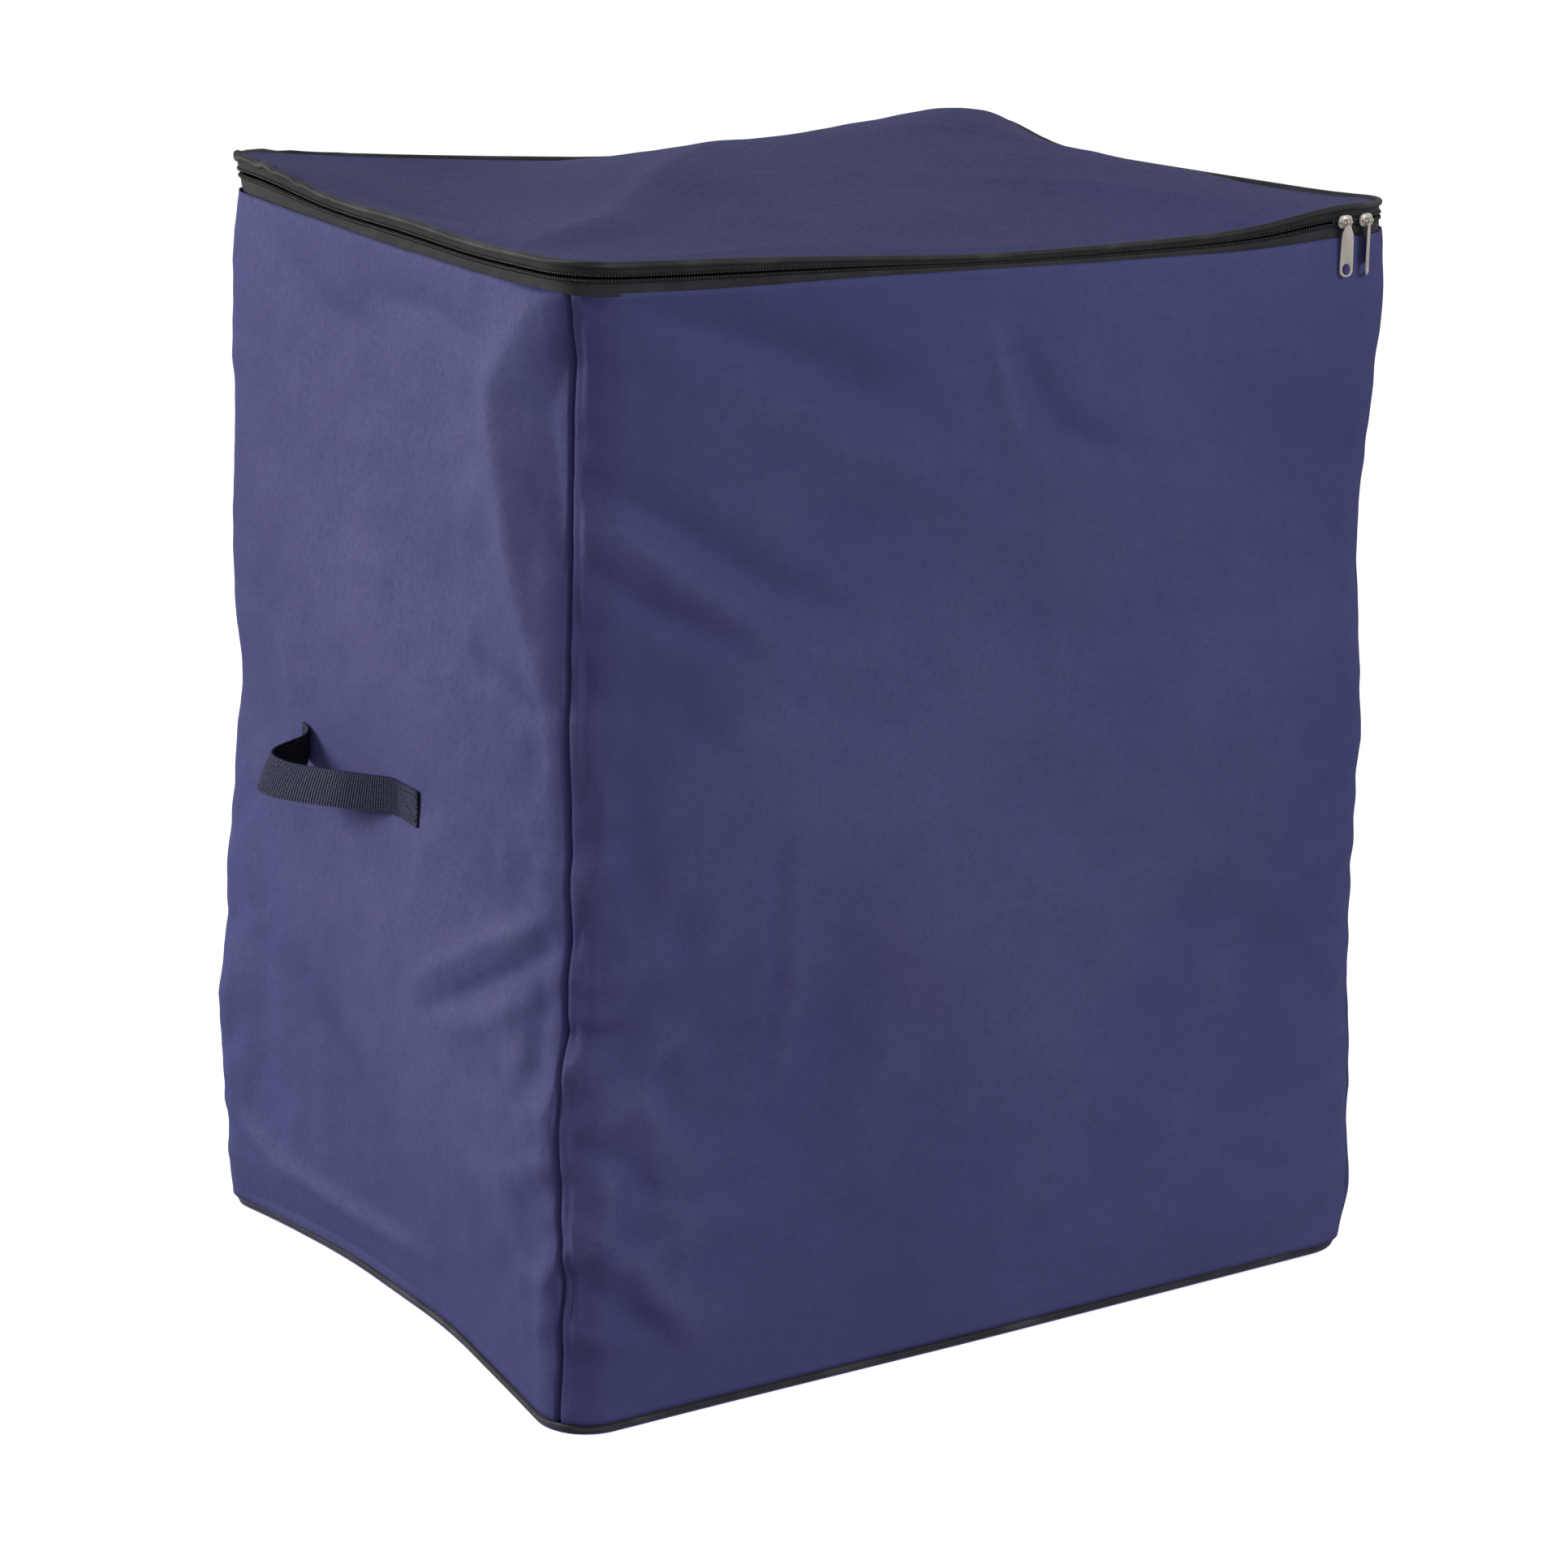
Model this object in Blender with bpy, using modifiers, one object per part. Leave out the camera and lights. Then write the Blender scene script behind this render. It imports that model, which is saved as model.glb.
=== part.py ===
"""Zip-top fabric storage bag: five fabric walls, a lid on a zip that runs round it, and two webbing handles.

The bag stands on the floor with its origin under its middle, its front towards -Y and +Z up. Its outline
in plan is a rectangle with round corners, and every strip of it is placed by its inset, the distance in
from that outline. Heights are metres above the floor.
"""

import math

import bmesh
import bpy
from mathutils import Matrix, Vector, geometry

# Driving dimensions
WIDTH, DEPTH, HEIGHT = 0.650, 0.490, 0.760
CORNER_R = 0.040
GAP = 0.0003
ARC_STEPS = 8  # segments in a quarter turn

FABRIC = 0.0012
WALL_INSET = 0.0015
PIPING_R = 0.0023
SEAM_ANGLE = 45.0  # each wall seam runs up the middle of its corner, this many degrees round it
BINDING_WIDTH, BINDING_THICKNESS = 0.010, 0.0012

BAND_HEIGHT = 0.022  # from the lid's top down to the top of the walls
ZIP_DROP = 0.0115  # from the lid's top down to the zip's centre line
TAPE_INSET, TAPE_THICKNESS = 0.0030, 0.0008
COIL_INSET, COIL_DEPTH, COIL_WIDTH = 0.0007, 0.0020, 0.0026
COIL_SPLIT = 0.0007  # half the slot between the two halves of the zip
ZIP_RETURN = 0.045  # how far the zip runs on along the back, past the back corners
END_TAB_WIDTH, END_TAB_THICKNESS = 0.014, 0.0026

SLIDER_LENGTH, SLIDER_HEIGHT, PLATE = 0.012, 0.009, 0.0014
POST_LENGTH, POST_HEIGHT = 0.006, 0.0008
BRIDGE_STAND, BRIDGE_R, BRIDGE_SPAN = 0.0027, 0.0008, 0.0090
INNER_PLATE_INSET = 0.0047
LEFT_SLIDER_X = 0.272
RIGHT_SLIDER_ANGLE = 7.0  # degrees round the front right corner

PULL_LENGTH, PULL_WIDTH, PULL_THICKNESS = 0.037, 0.0090, 0.0014
PULL_EYE_R, PULL_BORE_R, PULL_EYE_LENGTH = 0.0023, 0.0013, 0.0050
PULL_HOLE_WIDTH, PULL_HOLE_LENGTH = 0.0036, 0.0090

WEBBING_WIDTH, WEBBING_THICKNESS = 0.025, 0.0016
HANDLE_TOP = 0.3865  # height of the strap's upper edge where it leaves the wall
HANDLE_FRONT_ROOT, HANDLE_BACK_ROOT = -0.0125, 0.0980  # where the loop leaves the wall, along Y
HANDLE_FRONT_END, HANDLE_BACK_END = -0.0550, 0.1125  # where the strap's sewn ends stop
HANDLE_BOW, HANDLE_DROOP = 0.044, 0.005

# Worked out from these
X_ARC, Y_ARC = WIDTH / 2 - CORNER_R, DEPTH / 2 - CORNER_R
ZIP_Z = HEIGHT - ZIP_DROP
WALL_TOP = HEIGHT - BAND_HEIGHT
BASE_PIPING_Z = FABRIC + GAP + PIPING_R
WALL_BOTTOM = BASE_PIPING_Z + PIPING_R + GAP
TRIM_INSET = 2 * PIPING_R + GAP  # just inside the piping

NAVY, CHARCOAL, SILVER = (0.075, 0.077, 0.205), (0.035, 0.037, 0.042), (0.62, 0.58, 0.53)


def material(name, colour, roughness, metallic=0.0):
    made = bpy.data.materials.new(name)
    made.use_nodes = True
    surface = made.node_tree.nodes["Principled BSDF"]
    surface.inputs["Base Color"].default_value = (*colour, 1.0)
    surface.inputs["Roughness"].default_value = roughness
    surface.inputs["Metallic"].default_value = metallic
    return made


def put_in(collection, obj, parent=None, slot=None):
    """Files the object, gives it its own material and hangs it on its parent empty, where it stands."""
    for old in list(obj.users_collection):
        old.objects.unlink(obj)
    collection.objects.link(obj)
    if slot:
        obj.data.materials.clear()
        obj.data.materials.append(material(obj.name, *slot))
    if parent:
        obj.parent = parent
        obj.matrix_parent_inverse = parent.matrix_world.inverted()
    return obj


def axis_empty(collection, name, place):
    empty = bpy.data.objects.new(name, None)
    empty.location = place
    empty.matrix_world = Matrix.Translation(place)
    collection.objects.link(empty)
    return empty


def corner(side_x, side_y, inset, start, end):
    """Points along a plan corner's arc, from one angle to the other, in degrees from +X."""
    steps = max(2, round(ARC_STEPS * abs(end - start) / 90))
    radius = CORNER_R - inset
    angles = [math.radians(start + (end - start) * i / steps) for i in range(steps + 1)]
    return [
        (side_x * X_ARC + radius * math.cos(a), side_y * Y_ARC + radius * math.sin(a))
        for a in angles
    ]


def ring(inset):
    return (
        corner(1, -1, inset, 270, 360)
        + corner(1, 1, inset, 0, 90)
        + corner(-1, 1, inset, 90, 180)
        + corner(-1, -1, inset, 180, 270)
    )


def plan_solid(name, outlines, bottom, top):
    """A flat outline in plan, with any further outlines as holes in it, from one height to another."""
    curve = bpy.data.curves.new(name, "CURVE")
    curve.dimensions, curve.fill_mode = "2D", "BOTH"
    curve.extrude = (top - bottom) / 2
    for outline in outlines:
        spline = curve.splines.new("POLY")
        spline.points.add(len(outline) - 1)
        for point, (x, y) in zip(spline.points, outline):
            point.co = (x, y, 0, 1)
        spline.use_cyclic_u = True
    obj = bpy.data.objects.new(name, curve)
    obj.location.z = (top + bottom) / 2
    return obj


def strip(name, run, outer_inset, thickness, bottom, top):
    """An upright strip of constant thickness: run(inset) gives its points in plan."""
    outline = run(outer_inset) + run(outer_inset + thickness)[::-1]
    return plan_solid(name, [outline], bottom, top)


def tube_ring(name, height):
    """Piping round the whole outline, flush with it."""
    curve = bpy.data.curves.new(name, "CURVE")
    curve.dimensions = "3D"
    curve.bevel_depth, curve.bevel_resolution = PIPING_R, 2
    points = ring(PIPING_R)
    spline = curve.splines.new("POLY")
    spline.points.add(len(points) - 1)
    for point, (x, y) in zip(spline.points, points):
        point.co = (x, y, 0, 1)
    spline.use_cyclic_u = True
    obj = bpy.data.objects.new(name, curve)
    obj.location.z = height
    return obj


def block(name, low, high):
    mesh = bpy.data.meshes.new(name)
    bm = bmesh.new()
    bmesh.ops.create_cube(bm, size=1.0)
    low, high = Vector(low), Vector(high)
    size = high - low
    bmesh.ops.transform(bm, matrix=Matrix.Diagonal((*size, 1)), verts=bm.verts)
    bmesh.ops.translate(bm, vec=(low + high) / 2, verts=bm.verts)
    bm.to_mesh(mesh)
    bm.free()
    return bpy.data.objects.new(name, mesh)


def rod(name, radius, length, centre, axis, sides=24):
    """A cylinder along X or Y."""
    mesh = bpy.data.meshes.new(name)
    bm = bmesh.new()
    bmesh.ops.create_cone(
        bm, cap_ends=True, segments=sides, radius1=radius, radius2=radius, depth=length
    )
    bmesh.ops.rotate(
        bm,
        matrix=Matrix.Rotation(math.radians(90), 3, "Y" if axis == "X" else "X"),
        verts=bm.verts,
    )
    bmesh.ops.translate(bm, vec=centre, verts=bm.verts)
    bm.to_mesh(mesh)
    bm.free()
    return bpy.data.objects.new(name, mesh)


def one_mesh(name, base, joined, cut, cutters):
    """The base with the joined shapes added and the cut ones taken away, as one mesh."""
    put_in(cutters, base)
    for operation, others in (("UNION", joined), ("DIFFERENCE", cut)):
        for other in others:
            put_in(cutters, other)
            boolean = base.modifiers.new(other.name, "BOOLEAN")
            boolean.operation, boolean.object = operation, other
    bpy.context.view_layer.update()
    graph = bpy.context.evaluated_depsgraph_get()
    mesh = bpy.data.meshes.new_from_object(base.evaluated_get(graph))
    mesh.name = name
    for helper in (base, *joined, *cut):
        bpy.data.objects.remove(helper)
    return mesh


def slider_mesh(cutters):
    """A zip slider at the zip's centre line, with +Y going in: two plates on a thin post, and a bridge."""
    half, high = SLIDER_LENGTH / 2, SLIDER_HEIGHT / 2
    face = COIL_INSET - GAP
    bar_y = face - PLATE - BRIDGE_STAND
    leg = BRIDGE_SPAN / 2
    outer = block("outer_plate", (-half, face - PLATE, -high), (half, face, high))
    rounding = outer.modifiers.new("rounded_corners", "BEVEL")
    rounding.width, rounding.segments, rounding.limit_method = 0.0006, 2, "NONE"
    inner = block(
        "inner_plate", (-half, INNER_PLATE_INSET, -high), (half, INNER_PLATE_INSET + PLATE, high)
    )
    post = block(
        "post",
        (-POST_LENGTH / 2, face - PLATE / 2, -POST_HEIGHT / 2),
        (POST_LENGTH / 2, INNER_PLATE_INSET + PLATE / 2, POST_HEIGHT / 2),
    )
    legs = [
        block(
            f"bridge_leg_{end}",
            (x - BRIDGE_R, bar_y, -BRIDGE_R),
            (x + BRIDGE_R, face - PLATE / 2, BRIDGE_R),
        )
        for end, x in (("left", -leg), ("right", leg))
    ]
    bar = rod("bridge_bar", BRIDGE_R, BRIDGE_SPAN + BRIDGE_R, (0, bar_y, 0), "X")
    return one_mesh("slider", outer, [post, inner, *legs, bar], [], cutters), bar_y


def pull_mesh(cutters):
    """A zip pull hanging from its origin: an eye round the bridge bar, and a plate with an oval hole."""
    round_z = PULL_WIDTH / 2 - PULL_LENGTH
    plate = block(
        "pull_plate",
        (-PULL_WIDTH / 2, -PULL_THICKNESS / 2, round_z),
        (PULL_WIDTH / 2, PULL_THICKNESS / 2, -PULL_EYE_R - 2 * GAP),
    )
    tip = rod("pull_tip", PULL_WIDTH / 2, PULL_THICKNESS, (0, 0, round_z), "Y")
    neck = block(
        "pull_neck",
        (-PULL_EYE_LENGTH / 2, -PULL_THICKNESS / 2, -PULL_EYE_R - 0.003),
        (PULL_EYE_LENGTH / 2, PULL_THICKNESS / 2, -PULL_BORE_R - GAP),
    )
    eye = rod("pull_eye", PULL_EYE_R, PULL_EYE_LENGTH, (0, 0, 0), "X")
    bore = rod("pull_bore", PULL_BORE_R, 2 * PULL_EYE_LENGTH, (0, 0, 0), "X")
    hole_r = PULL_HOLE_WIDTH / 2
    hole_top = round_z + PULL_HOLE_LENGTH - PULL_HOLE_WIDTH
    hole = block("hole_slot", (-hole_r, -PULL_THICKNESS, round_z), (hole_r, PULL_THICKNESS, hole_top))
    hole_ends = [
        rod(f"hole_{end}", hole_r, 2 * PULL_THICKNESS, (0, 0, z), "Y")
        for end, z in (("low", round_z), ("high", hole_top))
    ]
    return one_mesh("pull", plate, [tip, neck, eye], [bore, hole, *hole_ends], cutters)


def handle_loop(name, side):
    """The free loop of a strap: it leaves the wall flat at its front root and bows out towards the back."""
    root = WIDTH / 2 - WALL_INSET + GAP + WEBBING_THICKNESS / 2
    apex = HANDLE_BACK_ROOT - 0.008
    knots = [  # (along Y, out from the wall): knot, handle, handle, knot of each half
        ((HANDLE_FRONT_ROOT, 0), (0.020, 0.003), (0.060, HANDLE_BOW), (apex, HANDLE_BOW)),
        ((apex, HANDLE_BOW), (apex + 0.018, HANDLE_BOW), (HANDLE_BACK_ROOT, 0.020), (HANDLE_BACK_ROOT, 0)),
    ]
    run = []
    for knot in knots:
        corners = [Vector((*point, 0)) for point in knot]
        run += geometry.interpolate_bezier(*corners, 12)[1 if run else 0 :]
    mesh = bpy.data.meshes.new(name)
    bm = bmesh.new()
    upper = []
    for point in run:
        top = HANDLE_TOP - HANDLE_DROOP * point.y / HANDLE_BOW
        upper.append(bm.verts.new((side * (root + point.y), point.x, top)))
    edges = [bm.edges.new(pair) for pair in zip(upper, upper[1:])]
    made = bmesh.ops.extrude_edge_only(bm, edges=edges)["geom"]
    lower = [item for item in made if isinstance(item, bmesh.types.BMVert)]
    bmesh.ops.translate(bm, vec=(0, 0, -WEBBING_WIDTH), verts=lower)
    bm.to_mesh(mesh)
    bm.free()
    obj = bpy.data.objects.new(name, mesh)
    thick = obj.modifiers.new("webbing_thickness", "SOLIDIFY")
    thick.thickness, thick.offset = WEBBING_THICKNESS, 0
    return obj


def handle_tab(name, side, start, end):
    """A sewn end of a strap, flat on the wall."""
    face = WIDTH / 2 - WALL_INSET + GAP
    near, far = sorted((side * face, side * (face + WEBBING_THICKNESS)))
    return block(name, (near, start, HANDLE_TOP - WEBBING_WIDTH), (far, end, HANDLE_TOP))


def corner_binding(name, side_x, side_y):
    """The bound seam allowance inside a wall corner: a fin that stands in from the seam."""
    outer = CORNER_R - WALL_INSET - FABRIC - GAP
    fin = block(
        name,
        (outer - BINDING_WIDTH, -BINDING_THICKNESS / 2, WALL_BOTTOM),
        (outer, BINDING_THICKNESS / 2, WALL_TOP),
    )
    turn = side_y * (90 - side_x * SEAM_ANGLE)
    fin.location = (side_x * X_ARC, side_y * Y_ARC, 0)
    fin.rotation_euler.z = math.radians(turn)
    return fin


def build_walls(parts):
    navy = (NAVY, 0.55)
    trim = (CHARCOAL, 0.7)
    split = math.degrees(GAP / 2 / CORNER_R)
    seam = SEAM_ANGLE - split
    over = SEAM_ANGLE + split
    runs = {
        "front_panel": ((-1, -1, 270 - seam, 270), (1, -1, 270, 270 + seam)),
        "right_panel": ((1, -1, 270 + over, 360), (1, 1, 0, 90 - over)),
        "back_panel": ((1, 1, 90 - seam, 90), (-1, 1, 90, 90 + seam)),
        "left_panel": ((-1, 1, 90 + over, 180), (-1, -1, 180, 270 - over)),
    }
    for name, (first, second) in runs.items():

        def run(inset, first=first, second=second):
            return corner(*first[:2], inset, *first[2:]) + corner(*second[:2], inset, *second[2:])

        put_in(parts, strip(name, run, WALL_INSET, FABRIC, WALL_BOTTOM, WALL_TOP), slot=navy)
    for side_y, end in ((-1, "front"), (1, "back")):
        for side_x, side in ((-1, "left"), (1, "right")):
            put_in(parts, corner_binding(f"corner_binding_{end}_{side}", side_x, side_y), slot=trim)
    put_in(parts, plan_solid("base_panel", [ring(WALL_INSET)], 0, FABRIC), slot=navy)
    put_in(parts, tube_ring("base_piping", BASE_PIPING_Z), slot=trim)
    binding = plan_solid(
        "base_binding",
        [ring(TRIM_INSET), ring(TRIM_INSET + BINDING_WIDTH)],
        FABRIC + GAP,
        FABRIC + GAP + BINDING_THICKNESS,
    )
    put_in(parts, binding, slot=trim)


def zip_run(inset):
    """The zip's way round in plan, from its left end on the back round by the front to its right end."""
    end = X_ARC - ZIP_RETURN
    back = DEPTH / 2 - inset
    return (
        [(-end, back)]
        + corner(-1, 1, inset, 90, 180)
        + corner(-1, -1, inset, 180, 270)
        + corner(1, -1, inset, 270, 360)
        + corner(1, 1, inset, 0, 90)
        + [(end, back)]
    )


def build_zip(parts, lid_axis):
    tape, coil = (CHARCOAL, 0.8), ((0.045, 0.046, 0.050), 0.45)
    tape_bottom, tape_top = WALL_TOP + GAP, HEIGHT - TRIM_INSET
    low, high = ZIP_Z - COIL_SPLIT, ZIP_Z + COIL_SPLIT
    pieces = (
        ("zip_tape_lower", TAPE_INSET, TAPE_THICKNESS, tape_bottom, low, None, tape),
        ("zip_coil_lower", COIL_INSET, COIL_DEPTH, low - COIL_WIDTH, low, None, coil),
        ("zip_tape_upper", TAPE_INSET, TAPE_THICKNESS, high, tape_top, lid_axis, tape),
        ("zip_coil_upper", COIL_INSET, COIL_DEPTH, high, high + COIL_WIDTH, lid_axis, coil),
    )
    for name, inset, thickness, bottom, top, parent, slot in pieces:
        put_in(parts, strip(name, zip_run, inset, thickness, bottom, top), parent, slot)
    end = X_ARC - ZIP_RETURN - GAP
    outer = DEPTH / 2 - TAPE_INSET + END_TAB_THICKNESS / 2
    inner = outer - END_TAB_THICKNESS
    for side_x, side in ((-1, "left"), (1, "right")):
        near, far = sorted((side_x * (end - END_TAB_WIDTH), side_x * end))
        tab = block(f"zip_end_tab_{side}", (near, inner, tape_bottom), (far, outer, tape_top))
        put_in(parts, tab, slot=tape)
    reach = end - END_TAB_WIDTH - GAP
    hinge_y = DEPTH / 2 - TAPE_INSET
    hinge = block(
        "back_hinge_strip", (-reach, hinge_y - FABRIC, tape_bottom), (reach, hinge_y, tape_top)
    )
    put_in(parts, hinge, slot=(NAVY, 0.55))


def build_lid(parts, lid_axis):
    trim = (CHARCOAL, 0.7)
    top = HEIGHT - PIPING_R + FABRIC / 2
    panel = plan_solid("lid_panel", [ring(TRIM_INSET)], top - FABRIC, top)
    put_in(parts, panel, lid_axis, (NAVY, 0.55))
    put_in(parts, tube_ring("lid_piping", HEIGHT - PIPING_R), lid_axis, trim)
    under = top - FABRIC - GAP
    binding = plan_solid(
        "lid_binding",
        [ring(TRIM_INSET), ring(TRIM_INSET + BINDING_WIDTH)],
        under - BINDING_THICKNESS,
        under,
    )
    put_in(parts, binding, lid_axis, trim)


def build_sliders(parts, cutters):
    metal = (SILVER, 0.32, 1.0)
    slider, bar_y = slider_mesh(cutters)
    pull = pull_mesh(cutters)
    left = axis_empty(parts, "slider_left_way", (LEFT_SLIDER_X, -DEPTH / 2, ZIP_Z))
    right = axis_empty(parts, "slider_right_turn", (X_ARC, -Y_ARC, ZIP_Z))
    turn = Matrix.Rotation(math.radians(RIGHT_SLIDER_ANGLE), 4, "Z")
    places = (
        ("left", left, Matrix.Translation(left.location)),
        (
            "right",
            right,
            Matrix.Translation(right.location) @ turn @ Matrix.Translation((0, -CORNER_R, 0)),
        ),
    )
    for side, parent, place in places:
        body = bpy.data.objects.new(f"slider_{side}", slider.copy())
        body.matrix_world = place
        tag = bpy.data.objects.new(f"pull_{side}", pull.copy())
        tag.matrix_world = place @ Matrix.Translation((0, bar_y, 0))
        for obj in (body, tag):
            put_in(parts, obj, parent, metal)
            obj.data.shade_smooth()
            obj.data.set_sharp_from_angle(angle=math.radians(35))


def build_handles(parts):
    webbing = ((0.045, 0.050, 0.065), 0.85)
    for side_x, side in ((-1, "left"), (1, "right")):
        hinge = axis_empty(
            parts, f"handle_{side}_root", (side_x * (WIDTH / 2 - WALL_INSET), 0, HANDLE_TOP)
        )
        put_in(parts, handle_loop(f"handle_{side}_loop", side_x), hinge, webbing)
        front = (HANDLE_FRONT_END, HANDLE_FRONT_ROOT - GAP)
        back = (HANDLE_BACK_ROOT + WEBBING_THICKNESS / 2 + GAP, HANDLE_BACK_END)
        for end, (start, stop) in (("front", front), ("back", back)):
            tab = handle_tab(f"handle_{side}_tab_{end}", side_x, start, stop)
            put_in(parts, tab, slot=webbing)


def main():
    for obj in list(bpy.data.objects):
        bpy.data.objects.remove(obj)
    parts = bpy.data.collections.new("fabric_storage_bag")
    cutters = bpy.data.collections.new("cutters")
    for collection in (parts, cutters):
        bpy.context.scene.collection.children.link(collection)
    cutters.hide_render = True
    lid_axis = axis_empty(parts, "lid_axis", (0, DEPTH / 2, HEIGHT))
    build_walls(parts)
    build_zip(parts, lid_axis)
    build_lid(parts, lid_axis)
    build_sliders(parts, cutters)
    build_handles(parts)


main()
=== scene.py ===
import math

import bmesh
import bpy
import numpy as np
from mathutils import Matrix, Vector, noise


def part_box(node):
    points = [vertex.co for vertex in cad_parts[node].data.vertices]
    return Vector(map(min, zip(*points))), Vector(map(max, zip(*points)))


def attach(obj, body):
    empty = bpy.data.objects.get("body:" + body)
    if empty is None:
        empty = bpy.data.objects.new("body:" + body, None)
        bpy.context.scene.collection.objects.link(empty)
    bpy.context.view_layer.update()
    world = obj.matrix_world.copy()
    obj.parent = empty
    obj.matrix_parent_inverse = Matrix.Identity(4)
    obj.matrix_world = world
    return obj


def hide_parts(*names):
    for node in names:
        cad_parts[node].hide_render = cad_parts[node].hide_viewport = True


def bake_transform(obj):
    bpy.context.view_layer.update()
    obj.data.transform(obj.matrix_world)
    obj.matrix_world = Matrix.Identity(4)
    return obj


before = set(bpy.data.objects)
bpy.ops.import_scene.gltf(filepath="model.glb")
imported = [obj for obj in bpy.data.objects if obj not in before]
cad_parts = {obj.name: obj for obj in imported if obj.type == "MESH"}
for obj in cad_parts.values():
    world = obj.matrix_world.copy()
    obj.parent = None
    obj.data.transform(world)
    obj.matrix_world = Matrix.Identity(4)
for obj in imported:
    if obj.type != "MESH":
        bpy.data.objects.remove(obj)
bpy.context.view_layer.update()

# ---------------------------------------------------------------------------------------------------
# Studio. A white floor in soft light: a large key lamp behind the bag's left, a weaker one in front of
# its right, and a white room that is brightest low down, so that the lid is darker than the walls.

LAMPS_AIM = Vector((0, 0, 0.38))
for name, place, size, power, tint in (
    ("key_lamp", (-2.9, 2.4, 1.25), 1.3, 78, (1.0, 0.985, 0.97)),
    ("front_lamp", (1.7, -3.1, 2.3), 1.2, 36, (0.97, 0.98, 1.0)),
):
    lamp = bpy.data.lights.new(name, "AREA")
    lamp.energy, lamp.size, lamp.color = power, size, tint
    lamp_object = bpy.data.objects.new(name, lamp)
    lamp_object.location = place
    aim = LAMPS_AIM - Vector(place)
    lamp_object.rotation_euler = aim.to_track_quat("-Z", "Y").to_euler()
    bpy.context.scene.collection.objects.link(lamp_object)

world = bpy.data.worlds.new("white_room")
world.use_nodes = True
bpy.context.scene.world = world
room = world.node_tree
way = room.nodes.new("ShaderNodeTexCoord")
parts = room.nodes.new("ShaderNodeSeparateXYZ")
room.links.new(way.outputs["Generated"], parts.inputs[0])
rise = room.nodes.new("ShaderNodeMapRange")
rise.inputs["From Min"].default_value = -1
room.links.new(parts.outputs["Z"], rise.inputs["Value"])
glow = room.nodes.new("ShaderNodeValToRGB")
for stop, level in zip((0, 1), (0.20, 0.16)):
    glow.color_ramp.elements[stop].color = (level, level, level, 1)
for position, level in ((0.45, 0.22), (0.54, 0.44), (0.68, 0.34), (0.82, 0.20)):
    glow.color_ramp.elements.new(position).color = (level, level, level, 1)
room.links.new(rise.outputs["Result"], glow.inputs["Fac"])
room.links.new(glow.outputs["Color"], room.nodes["Background"].inputs["Color"])
bpy.context.scene.view_settings.view_transform = "Standard"

VIEW_FROM, VIEW_UP = math.radians(-32.97), math.radians(16.33)
VIEW_ROLL, VIEW_DISTANCE = math.radians(1.21), 3.451
VIEW_CENTRE = Vector((-0.0066, 0, 0.3327))
camera = bpy.data.cameras.new("camera")
camera.lens, camera.sensor_width = 112.7, 36
camera_object = bpy.data.objects.new("camera", camera)
towards = Vector(
    (
        math.sin(VIEW_FROM) * math.cos(VIEW_UP),
        -math.cos(VIEW_FROM) * math.cos(VIEW_UP),
        math.sin(VIEW_UP),
    )
)
upright = towards.to_track_quat("Z", "Y").to_matrix()
camera_object.matrix_world = (
    Matrix.Translation(VIEW_CENTRE + VIEW_DISTANCE * towards)
    @ (upright @ Matrix.Rotation(VIEW_ROLL, 3, "Z")).to_4x4()
)
bpy.context.scene.collection.objects.link(camera_object)
bpy.context.scene.camera = camera_object


class Shade:
    """A shader value that takes part in sums; each sum adds its Math node."""

    def __init__(self, finish, socket):
        self.finish, self.socket = finish, socket

    def _sum(self, operation, first, second):
        return self.finish.node("ShaderNodeMath", {"operation": operation}, {0: first, 1: second})

    def __add__(self, other):
        return self._sum("ADD", self, other)

    def __mul__(self, other):
        return self._sum("MULTIPLY", self, other)

    def sine(self):
        return self._sum("SINE", self, 0.0)

    __radd__, __rmul__ = __add__, __mul__


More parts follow.
